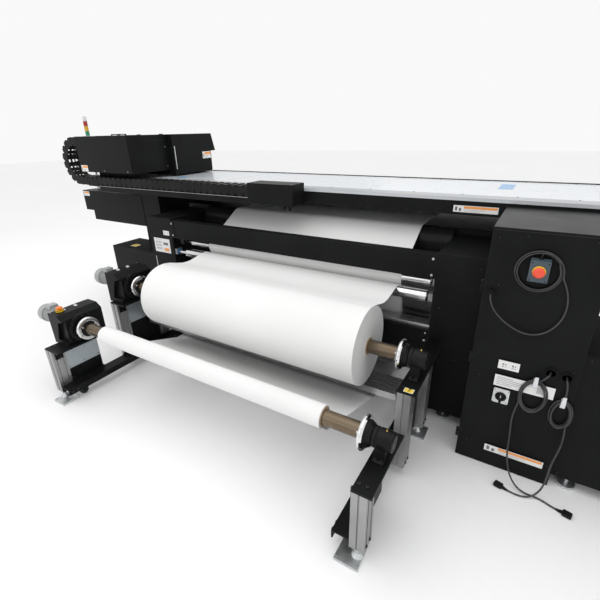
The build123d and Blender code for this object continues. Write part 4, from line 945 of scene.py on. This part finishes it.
fittings = Piece("housing_fittings", "root", "bearing_black", bevel=0.5)
for axis in (TAKEUP_AXIS, UNWIND_AXIS):
    y, z = axis
    face = HOUSINGS[1].x
    top = z + 108
    fittings.lathe([(face - 5, 93), (face + 0.2, 93), (face + 2, 88), (face + 2, 58)], 0, axis,
                   "bearing_black", 72)
    for n in range(6):
        angle = math.radians(30 + 60 * n)
        fittings.screw((face + 2, y + 78 * math.cos(angle), z + 78 * math.sin(angle)), 0, 1, 6, "bolt_dark")
    for spot in ((-30, 100), (30, 96), (70, -30)):
        fittings.screw((face - 16, y + spot[0], z + spot[1] - 12), 0, 1, 4, "bolt_dark", 3)
    for place in (-40, 40):
        fittings.block((-1126, -1100), (y + place - 8, y + place + 8), (top, top + 4), "label_white")
        fittings.block((-1120, -1106), (y + place - 5, y + place + 5), (top + 4, top + 9), "switch_plate")
    fittings.screw((-1140, y - 110, top), 2, 1, 4, "bolt_bright", 2)
    fittings.screw((-1140, y + 136, top), 2, 1, 4, "bolt_bright", 2)
fittings.done()

stop_low, stop_high = span("stop_button")
stop_axis = ((stop_low.x + stop_high.x) / 2, (stop_low.y + stop_high.y) / 2)
mushroom = Piece("stop_mushroom", "stop", "button_orange")
mushroom.lathe([(stop_low.z, 8.8), (stop_low.z + 8.4, 8.8), (stop_low.z + 8.6, 16), (stop_low.z + 11, 19.6),
                (stop_low.z + 15, 19.8), (stop_high.z - 2.5, 17.5), (stop_high.z - 0.6, 11),
                (stop_high.z, 3)],
               2, stop_axis, "button_orange", 48)
mushroom.done(replaces=("stop_button",))
collar = Piece("stop_collar", "root", "button_orange")
top = TAKEUP_AXIS[1] + 108
collar.lathe([(top + 0.1, 26.4), (top + 7, 26.4), (top + 10.2, 23), (top + 10.2, 10)], 2, stop_axis,
             "signal_yellow", 48)
collar.done()

# ---------------------------------------------------------------- energy chain

CHAIN_LOW = span("chain_lower")
CHAIN_UP = span("chain_upper")
CHAIN_LOOP = span("chain_loop")
chain_y = (CHAIN_LOW[0].y, CHAIN_LOW[1].y)
chain_height = CHAIN_LOW[1].z - CHAIN_LOW[0].z
loop_x = CHAIN_LOOP[1].x
loop_radius = (CHAIN_LOOP[1].z - CHAIN_LOOP[0].z) / 2
loop_z = CHAIN_LOOP[0].z + loop_radius


def chain_link(piece, centre, turn, pitch):
    """One link: two waisted side plates with pin bosses, and a bar across its top and bottom."""
    cosine, sine = math.cos(math.radians(turn)), math.sin(math.radians(turn))

    def placed(points):
        return [(centre[0] + u * cosine - v * sine, centre[1] + u * sine + v * cosine) for u, v in points]

    half = chain_height / 2 - 1
    plate = [(-pitch * 0.47, -half + 9), (-pitch * 0.36, -half), (pitch * 0.26, -half),
             (pitch * 0.36, -half + 9),
             (pitch * 0.47, -half + 20), (pitch * 0.47, half - 20), (pitch * 0.36, half - 9),
             (pitch * 0.26, half),
             (-pitch * 0.36, half), (-pitch * 0.47, half - 9)]
    inset = [(u * 0.55 - pitch * 0.03, v * 0.45) for u, v in plate]
    for y0, y1, face in ((chain_y[0] + 1.5, chain_y[0] + 8, chain_y[0]),
                         (chain_y[1] - 8, chain_y[1] - 1.5, chain_y[1])):
        piece.prism(placed(plate), 1, (y0, y1), "chain_plastic")
        inward = 1.6 if face == chain_y[0] else -1.6
        piece.prism(placed(inset), 1, (face + 0.2 * inward, face + inward), "chain_plastic")
        pin = placed([(pitch * 0.5, 0)])[0]
        piece.lathe([(face + inward * 0.1, 8), (face + inward * 0.4, 9), (face + inward * 2.5, 9)], 1, pin,
                    "chain_plastic", 14)
    for side in (-1, 1):
        bar = [(-pitch * 0.24, side * (half - 8)), (pitch * 0.20, side * (half - 8)),
               (pitch * 0.20, side * (half + 1)),
               (-pitch * 0.24, side * (half + 1))]
        piece.prism(placed(bar), 1, (chain_y[0] + 3, chain_y[1] - 3), "chain_plastic")


def chain_cables(piece, route):
    """Three cables through the chain, as bent round bars."""
    for n, (y, radius, lower) in enumerate(((40, 7, -12), (72, 9, -9), (108, 6, -14))):
        rings = []
        for x, z, turn in route:
            cosine, sine = math.cos(math.radians(turn)), math.sin(math.radians(turn))
            ring = []
            for step in range(10):
                angle = 2 * math.pi * step / 10
                v = lower + radius * math.sin(angle)
                ring.append((x - v * sine, y + radius * math.cos(angle), z + v * cosine))
            rings.append(ring)
        piece.loft(rings, "cord_black")


middle_z = CHAIN_LOW[0].z + chain_height / 2
upper_z = CHAIN_UP[0].z + chain_height / 2
lower_run = Piece("chain_lower_links", None, "chain_plastic")
count = 30
pitch = (CHAIN_LOW[1].x - loop_x) / count
for n in range(count):
    chain_link(lower_run, (loop_x + (n + 0.5) * pitch, middle_z), 0, pitch)
chain_cables(lower_run, [(loop_x + n * pitch, middle_z, 0) for n in range(count + 1)])
lower_run = lower_run.done(replaces=("chain_lower",))
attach(lower_run, "root")
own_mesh(lower_run)

upper_run = Piece("chain_upper_links", None, "chain_plastic")
count = 11
pitch = (CHAIN_UP[1].x - loop_x) / count
for n in range(count):
    chain_link(upper_run, (loop_x + (n + 0.5) * pitch, upper_z), 180, pitch)
upper_run = upper_run.done(replaces=("chain_upper",))
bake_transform(upper_run)

loop = Piece("chain_loop_links", "chain", "chain_plastic")
centre_radius = loop_radius - chain_height / 2
count = 8
for n in range(count):
    angle = 90 + 180 * (n + 0.5) / count
    spot = (loop_x + centre_radius * math.cos(math.radians(angle)),
            loop_z + centre_radius * math.sin(math.radians(angle)))
    chain_link(loop, spot, angle + 90, math.pi * centre_radius / count)
bend = []
for n in range(25):
    angle = math.radians(90 + 7.5 * n)
    bend.append((loop_x + centre_radius * math.cos(angle), loop_z + centre_radius * math.sin(angle),
                 180 + 7.5 * n))
chain_cables(loop, bend)
loop.done(replaces=("chain_loop",))

# ---------------------------------------------------------------- signal tower

TOWER = span("tower_light")
spot = ((TOWER[0].x + TOWER[1].x) / 2, (TOWER[0].y + TOWER[1].y) / 2)
base = TOWER[0].z
tower = Piece("signal_tower", "root", "tower_plastic")
tower.lathe([(base, 35), (base + 6, 35), (base + 10, 31), (base + 12, 20), (base + 30, 16), (base + 34, 11),
             (TOWER[1].z - 232, 11), (TOWER[1].z - 228, 15), (TOWER[1].z - 220, 18.8)], 2, spot,
             "tower_plastic", 32)
level = TOWER[1].z - 220
for finish in ("lens_clear", "lens_green", "lens_amber", "lens_red"):
    profile = [(level + 0.5, 17.5), (level + 1.5, 18.8)]
    for n in range(5):
        profile += [(level + 4 + n * 7, 18.8), (level + 7.5 + n * 7, 17.9)]
    profile += [(level + 41, 18.8), (level + 42.5, 17.5)]
    tower.lathe(profile, 2, spot, finish, 32)
    level += 43
tower.lathe([(level, 18.8), (level + 38, 18.8), (level + 45, 16), (level + 48, 9)], 2, spot,
            "tower_plastic", 32)
tower.done(replaces=("tower_light",), smooth=50)

# ---------------------------------------------------------------- carriage, deck and covers

seams = Piece("carriage_seams", "carriage", "black_powder", bevel=0.3)
front, top = CARRIAGE[0].y, CARRIAGE[1].z
for x in (CARRIAGE[0].x + 60, CARRIAGE[0].x + 340, CARRIAGE[1].x - 50):
    seams.screw((x, front, CARRIAGE[0].z + 14), 1, -1, 5, "bolt_bright", 2.5)
for x in (CARRIAGE[0].x + 40, CARRIAGE[0].x + 360, CARRIAGE[1].x - 40):
    seams.screw((x, front, CARRIAGE[1].z - 16), 1, -1, 3.5, "bolt_dark", 1.6)
    seams.screw((x, front + 70, top), 2, 1, 4, "bolt_dark", 2)
for z in (1340, 1500):
    seams.screw((CARRIAGE[1].x, 380, z), 0, 1, 4, "bolt_bright", 2)
seams.block((HOOD[1].x, HOOD[1].x + 3), (424, 432), (1312, 1503), "zinc_steel")
for y, z in ((470, 1300), (840, 1300), (470, 1560), (860, 1560)):
    seams.screw((HOOD[1].x, y, z), 0, 1, 4, "bolt_dark", 2)
seams.block((HOOD[0].x + 60, HOOD[1].x - 60), (HOOD[1].y - 0.6, HOOD[1].y + 1.4), (1452, 1456), "rail_steel")
for n in range(5):
    seams.screw((HOOD[0].x + 50 + n * 160, HOOD[1].y - 62, 1420), 1, 1, 4, "bolt_dark", 2)
APRON = span("print_heads")
for n in range(5):
    seams.screw((APRON[0].x + 30 + n * 170, APRON[1].y, APRON[1].z - 10), 1, 1, 4, "bolt_bright", 2)
for side, x in ((-1, APRON[0].x), (1, APRON[1].x)):
    seams.screw((x, APRON[1].y - 40, APRON[1].z - 20), 0, side, 4, "bolt_bright", 2)
seams.block((APRON[0].x + 220, APRON[0].x + 500), (APRON[1].y, APRON[1].y + 2), (1130, 1210), "estop_slate")
seams.done()

LID = span("carriage_lid")
lid_parts = Piece("lid_handle", "lid", "black_powder", bevel=0.8)
lid_parts.block((LID[0].x + 40, LID[1].x - 40), (LID[0].y + 18, LID[0].y + 22), (LID[1].z, LID[1].z + 1.6),
                "rail_steel")
handle = [(LID[0].x + 250, LID[1].z), (LID[0].x + 250, LID[1].z + 7), (LID[0].x + 256, LID[1].z + 12),
          (LID[1].x - 256, LID[1].z + 12), (LID[1].x - 250, LID[1].z + 7), (LID[1].x - 250, LID[1].z)]
grip = handle + [(u, v) for u, v in ((LID[1].x - 262, LID[1].z), (LID[1].x - 262, LID[1].z + 5),
                                     (LID[0].x + 262, LID[1].z + 5), (LID[0].x + 262, LID[1].z))]
lid_parts.prism(grip, 1, (LID[0].y + 36, LID[0].y + 46), "black_powder")
for x in (LID[0].x + 60, (LID[0].x + LID[1].x) / 2, LID[1].x - 60):
    lid_parts.lathe([(x - 22, 4), (x - 21, 5), (x + 21, 5), (x + 22, 4)], 0, (LID[1].y - 6, LID[1].z + 1),
                    "bolt_dark", 14)
lid_parts.done()

# A black strip hung below the cover's front: painted shade, a dark sheet standing for the shadow under the
# carriage over the deck.
shade_strip = Piece("carriage_shade_strip", "carriage", "black_powder")
shade_strip.block((CARRIAGE[0].x + 6, CARRIAGE[1].x - 4), (CARRIAGE[0].y + 162, CARRIAGE[0].y + 165),
            (1254, 1308), "black_powder")
shade_strip.done()

deck_parts = Piece("deck_fittings", "root", "deck_grey", bevel=0.2)
deck_top = DECK[1].z
deck_parts.block((DECK[0].x, DECK[1].x), (DECK[0].y + 0.5, DECK[0].y + 112), (deck_top, deck_top + 0.8),
                 "deck_strip")
for n in range(17):
    deck_parts.screw((DECK[0].x + 90 + n * 277, DECK[0].y + 118, deck_top), 2, 1, 5, "bolt_dark", 1.8)
    deck_parts.screw((DECK[0].x + 90 + n * 277, DECK[1].y - 40, deck_top), 2, 1, 5, "bolt_dark", 1.8)
deck_parts.block((DECK[0].x, DECK[1].x), (DECK[1].y - 14, DECK[1].y), (deck_top, deck_top + 5),
                 "black_powder")
for x in (-806, 420, 1640):
    deck_parts.block((x, x + 1.6), (DECK[0].y + 1, DECK[1].y - 15), (deck_top, deck_top + 0.5), "label_pale")
for x, low, high in ((-1400, 330, 420), (1140, 560, 800)):
    deck_parts.block((x, x + 82), (low, high), (deck_top, deck_top + 0.5), "tape_blue")
    deck_parts.block((x + 18, x + 62), (low + 14, high - 14), (deck_top + 0.5, deck_top + 0.9), "tape_blue")
for n in range(16):
    x = FASCIA[0].x + 140 + n * 300
    if not -2010 < x < 40:
        deck_parts.screw((x, FASCIA[0].y, 1168), 1, -1, 3.5, "bolt_dark", 1.8)
deck_parts.done()

BOX = span("chain_anchor_box")
anchor = Piece("anchor_fittings", "root", "black_powder", bevel=0.4)
for x in (BOX[0].x + 40, BOX[1].x - 40):
    for y in (BOX[0].y + 20, BOX[1].y - 20):
        anchor.screw((x, y, BOX[1].z), 2, 1, 4, "bolt_dark", 2)
    anchor.screw((x, BOX[0].y, BOX[1].z - 18), 1, -1, 4, "bolt_dark", 2)
for n, x in enumerate((-64, -24)):
    anchor.lathe([(BOX[0].z + 1, 17), (BOX[0].z - 8, 17), (BOX[0].z - 10, 13), (BOX[0].z - 22, 12),
                  (BOX[0].z - 26, 9),
                  (BOX[0].z - 36, 7)], 2, (x, BOX[0].y + 30 + n * 10), "knob_black", 20)
TRAY = span("chain_tray")
anchor.block((TRAY[0].x, TRAY[1].x), (TRAY[0].y - 1.2, TRAY[0].y + 4), (TRAY[1].z - 16, TRAY[1].z - 13),
             "rail_steel")
anchor.done()

# ---------------------------------------------------------------- columns, crossbars and boxes

frame_bolts = Piece("frame_bolts", "root", "zinc_steel", bevel=0.3)
front = COLUMN[0].y
inner = -span("crossbars")[0].x
for low, high in CROSSBAR_LEVELS:
    for side in (-1, 1):
        edge = side * inner
        frame_bolts.block(sorted((edge, edge - side * 34)), (front - 3, front), (low + 4, high - 4),
                          "black_powder")
        for z in (low + 22, high - 22):
            frame_bolts.screw((edge - side * 17, front - 3, z), 1, -1, 7, "bolt_bright", 4)
for side in (-1, 1):
    for z in (234, 276, 552):
        frame_bolts.screw((side * (inner - 16), front, z), 1, -1, 5, "bolt_bright", 3)
for x, z in ((1024, 717), (1050, 395), (1132, 427), (1196, 960), (-1214, 980), (-1214, 120), (-1010, 120)):
    frame_bolts.screw((x, front, z), 1, -1, 4.5, "bolt_dark", 2.2)
for side in (-1, 1):
    for y in (120, 480, 840):
        frame_bolts.screw((side * (COLUMN[1].x - 20), y, COLUMN[1].z), 2, 1, 5, "bolt_dark", 2.5)
    for y in (-60, 500, 1060):
        for z in (140, 560, 960):
            if y > 150 or side < 0:
                frame_bolts.screw((side * COLUMN[1].x, y, z), 0, side, 4, "bolt_dark", 2)
frame_bolts.block((-1232, -992), (front + 4, COLUMN[1].y - 4), (COLUMN[1].z, COLUMN[1].z + 1.2),
                  "black_powder")
frame_bolts.block((-COLUMN[1].x + 30, -COLUMN[1].x + 38), (front - 1.5, front), (80, 700), "rail_steel")
frame_bolts.done()

SIDES = span("side_boxes")
boxes = Piece("box_fittings", "root", "bearing_black", bevel=0.3)
for side in (-1, 1):
    for x, z in ((1700, 1090), (2410, 1090), (1700, 850), (2410, 850), (2520, 1090), (2520, 940)):
        boxes.screw((side * x, 150, z), 1, -1, 4, "bolt_dark", 2)
    for y in (210, 480):
        for z in (950, 1080):
            boxes.screw((side * SIDES[1].x, y, z), 0, side, 4, "bolt_dark", 2)
    for n in range(9):
        x = side * (1760 + n * 18)
        boxes.block(sorted((x, x + 7)), (536, 541), (900, 1040), "knob_black")
for x, z in ((-1750, 700), (-1260, 700), (-1750, 80), (-1500, 700)):
    boxes.screw((x, front, z), 1, -1, 4, "bolt_dark", 2)
for x in (1690, 2040, 2380):
    for z in (80, 700):
        boxes.screw((x, -350, z), 1, -1, 4, "bolt_dark", 2)
for n in range(12):
    boxes.block((1900 + n * 22, 1910 + n * 22), (-351, -348), (180, 330), "knob_black")
boxes.done()

# ---------------------------------------------------------------- rollers

SILVER = span("silver_roller")
GREY = span("grey_roller")
collars = Piece("roller_collars", "root", "bearing_black", bevel=0.4)
for low, high in (SILVER, GREY, span("dancer_roller"), span("low_roller")):
    axis = ((low.y + high.y) / 2, (low.z + high.z) / 2)
    for side in (-1, 1):
        face = side * (inner - 24)
        finish = "fitting_blue" if side < 0 and low.z == SILVER[0].z else "bearing_black"
        collars.lathe([(face, 24), (face - side * 6, 24), (face - side * 8, 20), (face - side * 10, 14)], 0,
                      axis, finish, 28)
collars.done()

# ---------------------------------------------------------------- stands

stand = Piece("stand_fittings", "root", "bearing_black", bevel=0.4)
plate_front, plate_rear = PLATES[1].z - 130, PLATES[1].z


def stand_place(side, inward):
    """The X that lies a distance inward from the outer faces of the left or right stand's posts."""
    x = POSTS[0].x + inward
    return x if side < 0 else POSTS[0].x + POSTS[1].x - x


for side in (-1, 1):
    for y, top in ((-1125, plate_front), (-631, plate_rear), (-300, plate_rear)):
        for u in (16, 49):
            stand.screw((stand_place(side, u), y, top), 2, 1, 6.5, "bolt_dark", 6)
    for y, top in ((-1040, plate_front), (-850, plate_front), (-540, plate_rear), (-400, plate_rear),
                   (-230, plate_rear)):
        x = stand_place(side, 118) if side < 0 else PLATES[1].x - 9
        stand.screw((x, y, top - 10), 2, -1, 5, "bolt_dark", 5)
    for y in (-1143, -1108, -649, -614, -318, -283):
        stand.screw((stand_place(side, 145), y, 84), 0, -side, 8, "bolt_dark", 7)
        stand.screw((stand_place(side, 0), y, 84), 0, side, 7, "bolt_dark", 5)
    for y, top in ((-1125, 300), (-631, 430), (-300, 430)):
        cleat = sorted((stand_place(side, 65), stand_place(side, 73)))
        stand.block(cleat, (y - 24, y + 24), (top, top + 56), "black_powder")
        for z in (top + 14, top + 42):
            stand.screw((stand_place(side, 73), y, z), 0, -side, 7, "bolt_dark", 8)
    gusset = sorted((stand_place(side, 70), stand_place(side, 84)))
    stand.prism([(-1085, 104), (-1040, 104), (-1085, 150)], 0, gusset, "black_powder")
    stand.prism([(-671, 104), (-716, 104), (-671, 150)], 0, gusset, "black_powder")
    for y0, y1, z0, z1 in ((-1085, -856, 190, 365), (-591, -340, 310, 495)):
        for y in (y0 + 14, (y0 + y1) / 2, y1 - 14):
            for z in (z0 + 14, z1 - 14):
                for u, way in ((48, 1), (44, -1)):
                    steps = ((0, 4), (1.4, 3.6), (2, 2))
                    rivet = [(stand_place(side, u + way * out), radius) for out, radius in steps]
                    stand.lathe(rivet, 0, (y, z), "bolt_dark", 12)
    for y in (-1143, -300):
        stem = (stand_place(side, 32.5), y)
        stand.lathe([(12, 26), (15, 26), (24, 17), (34, 14), (35, 12)], 2, stem, "zinc_steel", 32)
        stand.lathe([(46, 17), (47, 19), (55, 19), (56, 17)], 2, stem, "zinc_steel", 6)
        for u in (-44, 44):
            x = stand_place(side, u + (32 if y == -300 else 62))
            stand.screw((x, y - 48, 12), 2, 1, 5, "bolt_bright", 3)
stand.done()

beam_low, beam_high = span("stand_cross_beam")
brackets = Piece("beam_brackets", "root", "bearing_black", bevel=0.5)
for side, x in ((1, beam_low.x), (-1, beam_high.x)):
    for y in (beam_low.y + 30, beam_high.y - 30):
        brackets.block(sorted((x, x + side * 36)), (y - 18, y + 18), (beam_low.z - 6, beam_low.z),
                       "bolt_dark")
        brackets.screw((x + side * 22, y, beam_low.z - 6), 2, -1, 7, "bolt_dark", 6)
brackets.done()

for name, body, node in (("left_transport_wheel", "wheel_left", "left_wheel"),
                         ("right_transport_wheel", "wheel_right", "right_wheel")):
    low, high = span(node)
    centre = ((low.y + high.y) / 2, (low.z + high.z) / 2)
    wheel = Piece(name, body, "wheel_rubber")
    wheel.lathe([(low.x, 18), (low.x, 24), (low.x + 3, 27), (high.x - 3, 27), (high.x, 24), (high.x, 18)],
                0, centre,
                "wheel_rubber", 48)
    wheel.lathe([(low.x + 0.5, 6.2), (low.x - 0.0, 10), (low.x + 3, 12), (low.x + 3, 18)], 0, centre,
                "knob_black", 32)
    wheel.lathe([(high.x - 3, 18), (high.x - 3, 12), (high.x, 10), (high.x - 0.5, 6.2)], 0, centre,
                "knob_black", 32)
    wheel.done(replaces=(node,))

# ---------------------------------------------------------------- cabinet door and its controls

door_parts = Piece("door_screws", "door", "zinc_steel", bevel=0.2)
door_low, door_high = span("cabinet_door")
for x, z in ((1270, 1180), (1370, 1196), (1600, 1196), (1640, 640), (1640, 120), (1286, 120), (1286, 520),
             (1298, 976)):
    door_parts.screw((x, DOOR, z), 1, -1, 3, "bolt_dark", 1.5)
for hole in CABLE_HOLES:
    grommet = [(DOOR + 0.1, 20.6), (DOOR - 2, 24), (DOOR - 4, 23.4), (DOOR - 4.4, 20.6), (DOOR - 0.2, 17.6)]
    door_parts.lathe(grommet, 1, hole, "knob_black", 40, ends=False)
door_parts.block((door_low.x + 20, door_high.x - 20), (DOOR - 0.6, DOOR), (1211.5, 1213), "bolt_dark")
door_parts.done()

switch_low, switch_high = span("switch_knob")
switch_axis = ((switch_low.x + switch_high.x) / 2, (switch_low.z + switch_high.z) / 2)
face = switch_high.y - 5.3
knob = Piece("main_switch_knob", "switch", "knob_black", bevel=0.8)
knob.lathe([(face - 0.3, 23), (face - 3, 23.8), (face - 12, 23.8), (face - 15.6, 21), (face - 16, 12)], 1,
           switch_axis,
           "knob_black", 48)
knob.lathe([(switch_high.y, 8.8), (face, 8.8)], 1, switch_axis, "knob_black", 24)
grip = [(switch_axis[0] + u, switch_axis[1] + v) for u,
        v in ((-5, -22), (5, -22), (6, -14), (4.4, 0), (6, 14), (5, 22),
                                                            (-5, 22), (-6, 14), (-4.4, 0), (-6, -14))]
knob.prism(grip, 1, (face - 34, face - 15), "knob_black")
knob.prism([(switch_axis[0] + u, switch_axis[1] + v) for u,
            v in ((-1.2, 8), (1.2, 8), (1.2, 20), (-1.2, 20))], 1,
           (face - 34.4, face - 34), "label_white")
knob.done(replaces=("switch_knob",))
plate = Piece("switch_marks", "door", "switch_plate", bevel=0.3)
plate_y = DOOR - 8
cx, cz = switch_axis
square = [(cx + u, cz + v) for u, v in rounded(68, 75, 6)]
plate.prism(square, 1, (plate_y, DOOR), "switch_plate")
plate.lathe([(DOOR, 14), (DOOR - 8, 14), (DOOR - 9, 12)], 1, GLAND, "knob_black", 6)
plate.lathe([(DOOR - 9, 11), (DOOR - 14, 11), (DOOR - 19, 9), (DOOR - 20, 7)], 1, GLAND, "knob_black", 32)
for u, v in ((-28, 31), (28, 31), (-28, -31), (28, -31)):
    plate.screw((cx + u, plate_y, cz + v), 1, -1, 3.4, "bolt_bright", 1.6)
for angle in range(0, 360, 45):
    u, v = 29 * math.cos(math.radians(angle)), 29 * math.sin(math.radians(angle))
    plate.block((cx + u - 1.2, cx + u + 1.2), (plate_y - 0.4, plate_y), (cz + v - 1.2, cz + v + 1.2),
                "label_ink")
plate.done(replaces=("door_fittings",))

box_top = span("estop_box")[1].z - 12
button_low, button_high = span("estop_button")
button_axis = ((button_low.x + button_high.x) / 2, (button_low.z + button_high.z) / 2)
box_front = DOOR - 50
housing = Piece("estop_housing", "door", "estop_slate")
outline = [(button_axis[0] + u, button_axis[1] + v) for u, v in rounded(71, 87, 5)]
sections = [(DOOR, 1.0), (DOOR - 20, 1.0), (DOOR - 20.5, 0.98), (DOOR - 22, 0.98), (DOOR - 22.5, 1.0),
            (box_front + 3, 1.0),
            (box_front + 0.8, 0.985), (box_front, 0.95)]
rings = []
for y, scale in sections:
    rings.append([(button_axis[0] + (u - button_axis[0]) * scale, y,
                   button_axis[1] + (v - button_axis[1]) * scale)
                  for u, v in outline])
housing.loft(rings, "estop_slate")
for u, v in ((-28, 36), (28, 36), (-28, -36), (28, -36)):
    housing.screw((button_axis[0] + u, box_front, button_axis[1] + v), 1, -1, 3.2, "bolt_dark", 0.8)
housing.lathe([(box_front, 24), (box_front - 4, 24), (box_front - 8, 22.6), (box_front - 9, 20),
               (box_front - 9, 13)], 1,
              button_axis, "signal_yellow", 56)
housing.lathe([(box_top - 0.5, 9.5), (box_top + 2, 9.5), (box_top + 3, 7), (box_top + 8, 6.6),
               (box_top + 12, 4)], 2,
              (button_axis[0], DOOR - 12), "knob_black", 6)
housing.done(replaces=("estop_box",), smooth=40)
cap = Piece("estop_mushroom", "estop", "button_red")
head_back = button_low.y + 13.5
cap.lathe([(button_high.y, 11.8), (head_back, 11.8), (head_back - 0.2, 19), (head_back - 2.5, 21.6),
           (head_back - 7, 22),
           (button_low.y + 3, 20.4), (button_low.y + 0.8, 15), (button_low.y, 6)], 1, button_axis,
           "button_red", 56)
cap.done(replaces=("estop_button",), smooth=45)

# ---------------------------------------------------------------- cord strain relief


def gland(name, spot, along, radii):
    """A tapered, ribbed strain relief on a cord's exit."""
    piece = Piece(name, "door", "knob_black")
    profile = []
    for n in range(6):
        start = spot[1] - along * n / 6
        wide = radii[0] + (radii[1] - radii[0]) * n / 6
        profile += [(start, wide), (start - along / 12, wide), (start - along / 12 - 0.2, wide - 0.8)]
    piece.lathe(profile, 1, (spot[0], spot[2]), "knob_black", 24)
    return piece.done()


relief_piece = gland("estop_cord_relief", (1275, DOOR - 12, 938), 20, (8.5, 4.6))

# ---------------------------------------------------------------- floor and light

floor_mesh = bmesh.new()
bmesh.ops.create_grid(floor_mesh, x_segments=4, y_segments=4, size=30)
floor_data = bpy.data.meshes.new("floor")
floor_mesh.to_mesh(floor_data)
floor_mesh.free()
floor = bpy.data.objects.new("floor", floor_data)
floor.location = (0, 0, -0.001)
bpy.context.scene.collection.objects.link(floor)
floor_data.materials.append(material("floor", grey(0.93), grey(0.95), 0.6, grain=20, bump=0.01, blotch=0.4))

world = bpy.data.worlds.new("studio")
world.use_nodes = True
world.node_tree.nodes["Background"].inputs["Color"].default_value = (1.0, 1.0, 1.0, 1)
world.node_tree.nodes["Background"].inputs["Strength"].default_value = 0.95
bpy.context.scene.world = world


def area_light(name, place, aim, size, power):
    data = bpy.data.lights.new(name, "AREA")
    data.shape = "RECTANGLE"
    data.size, data.size_y = size
    data.energy = power
    obj = bpy.data.objects.new(name, data)
    obj.location = place
    obj.rotation_euler = (Vector(aim) - Vector(place)).to_track_quat("-Z", "Y").to_euler()
    bpy.context.scene.collection.objects.link(obj)


area_light("ceiling", (0, -1.0, 5.0), (0, 0, 0.6), (7, 5), 90)
area_light("front", (-2.0, -5.5, 3.4), (0, 0, 0.7), (4, 3), 30)
area_light("behind", (1.0, 5.5, 3.8), (0, 0, 1.0), (6, 3), 40)
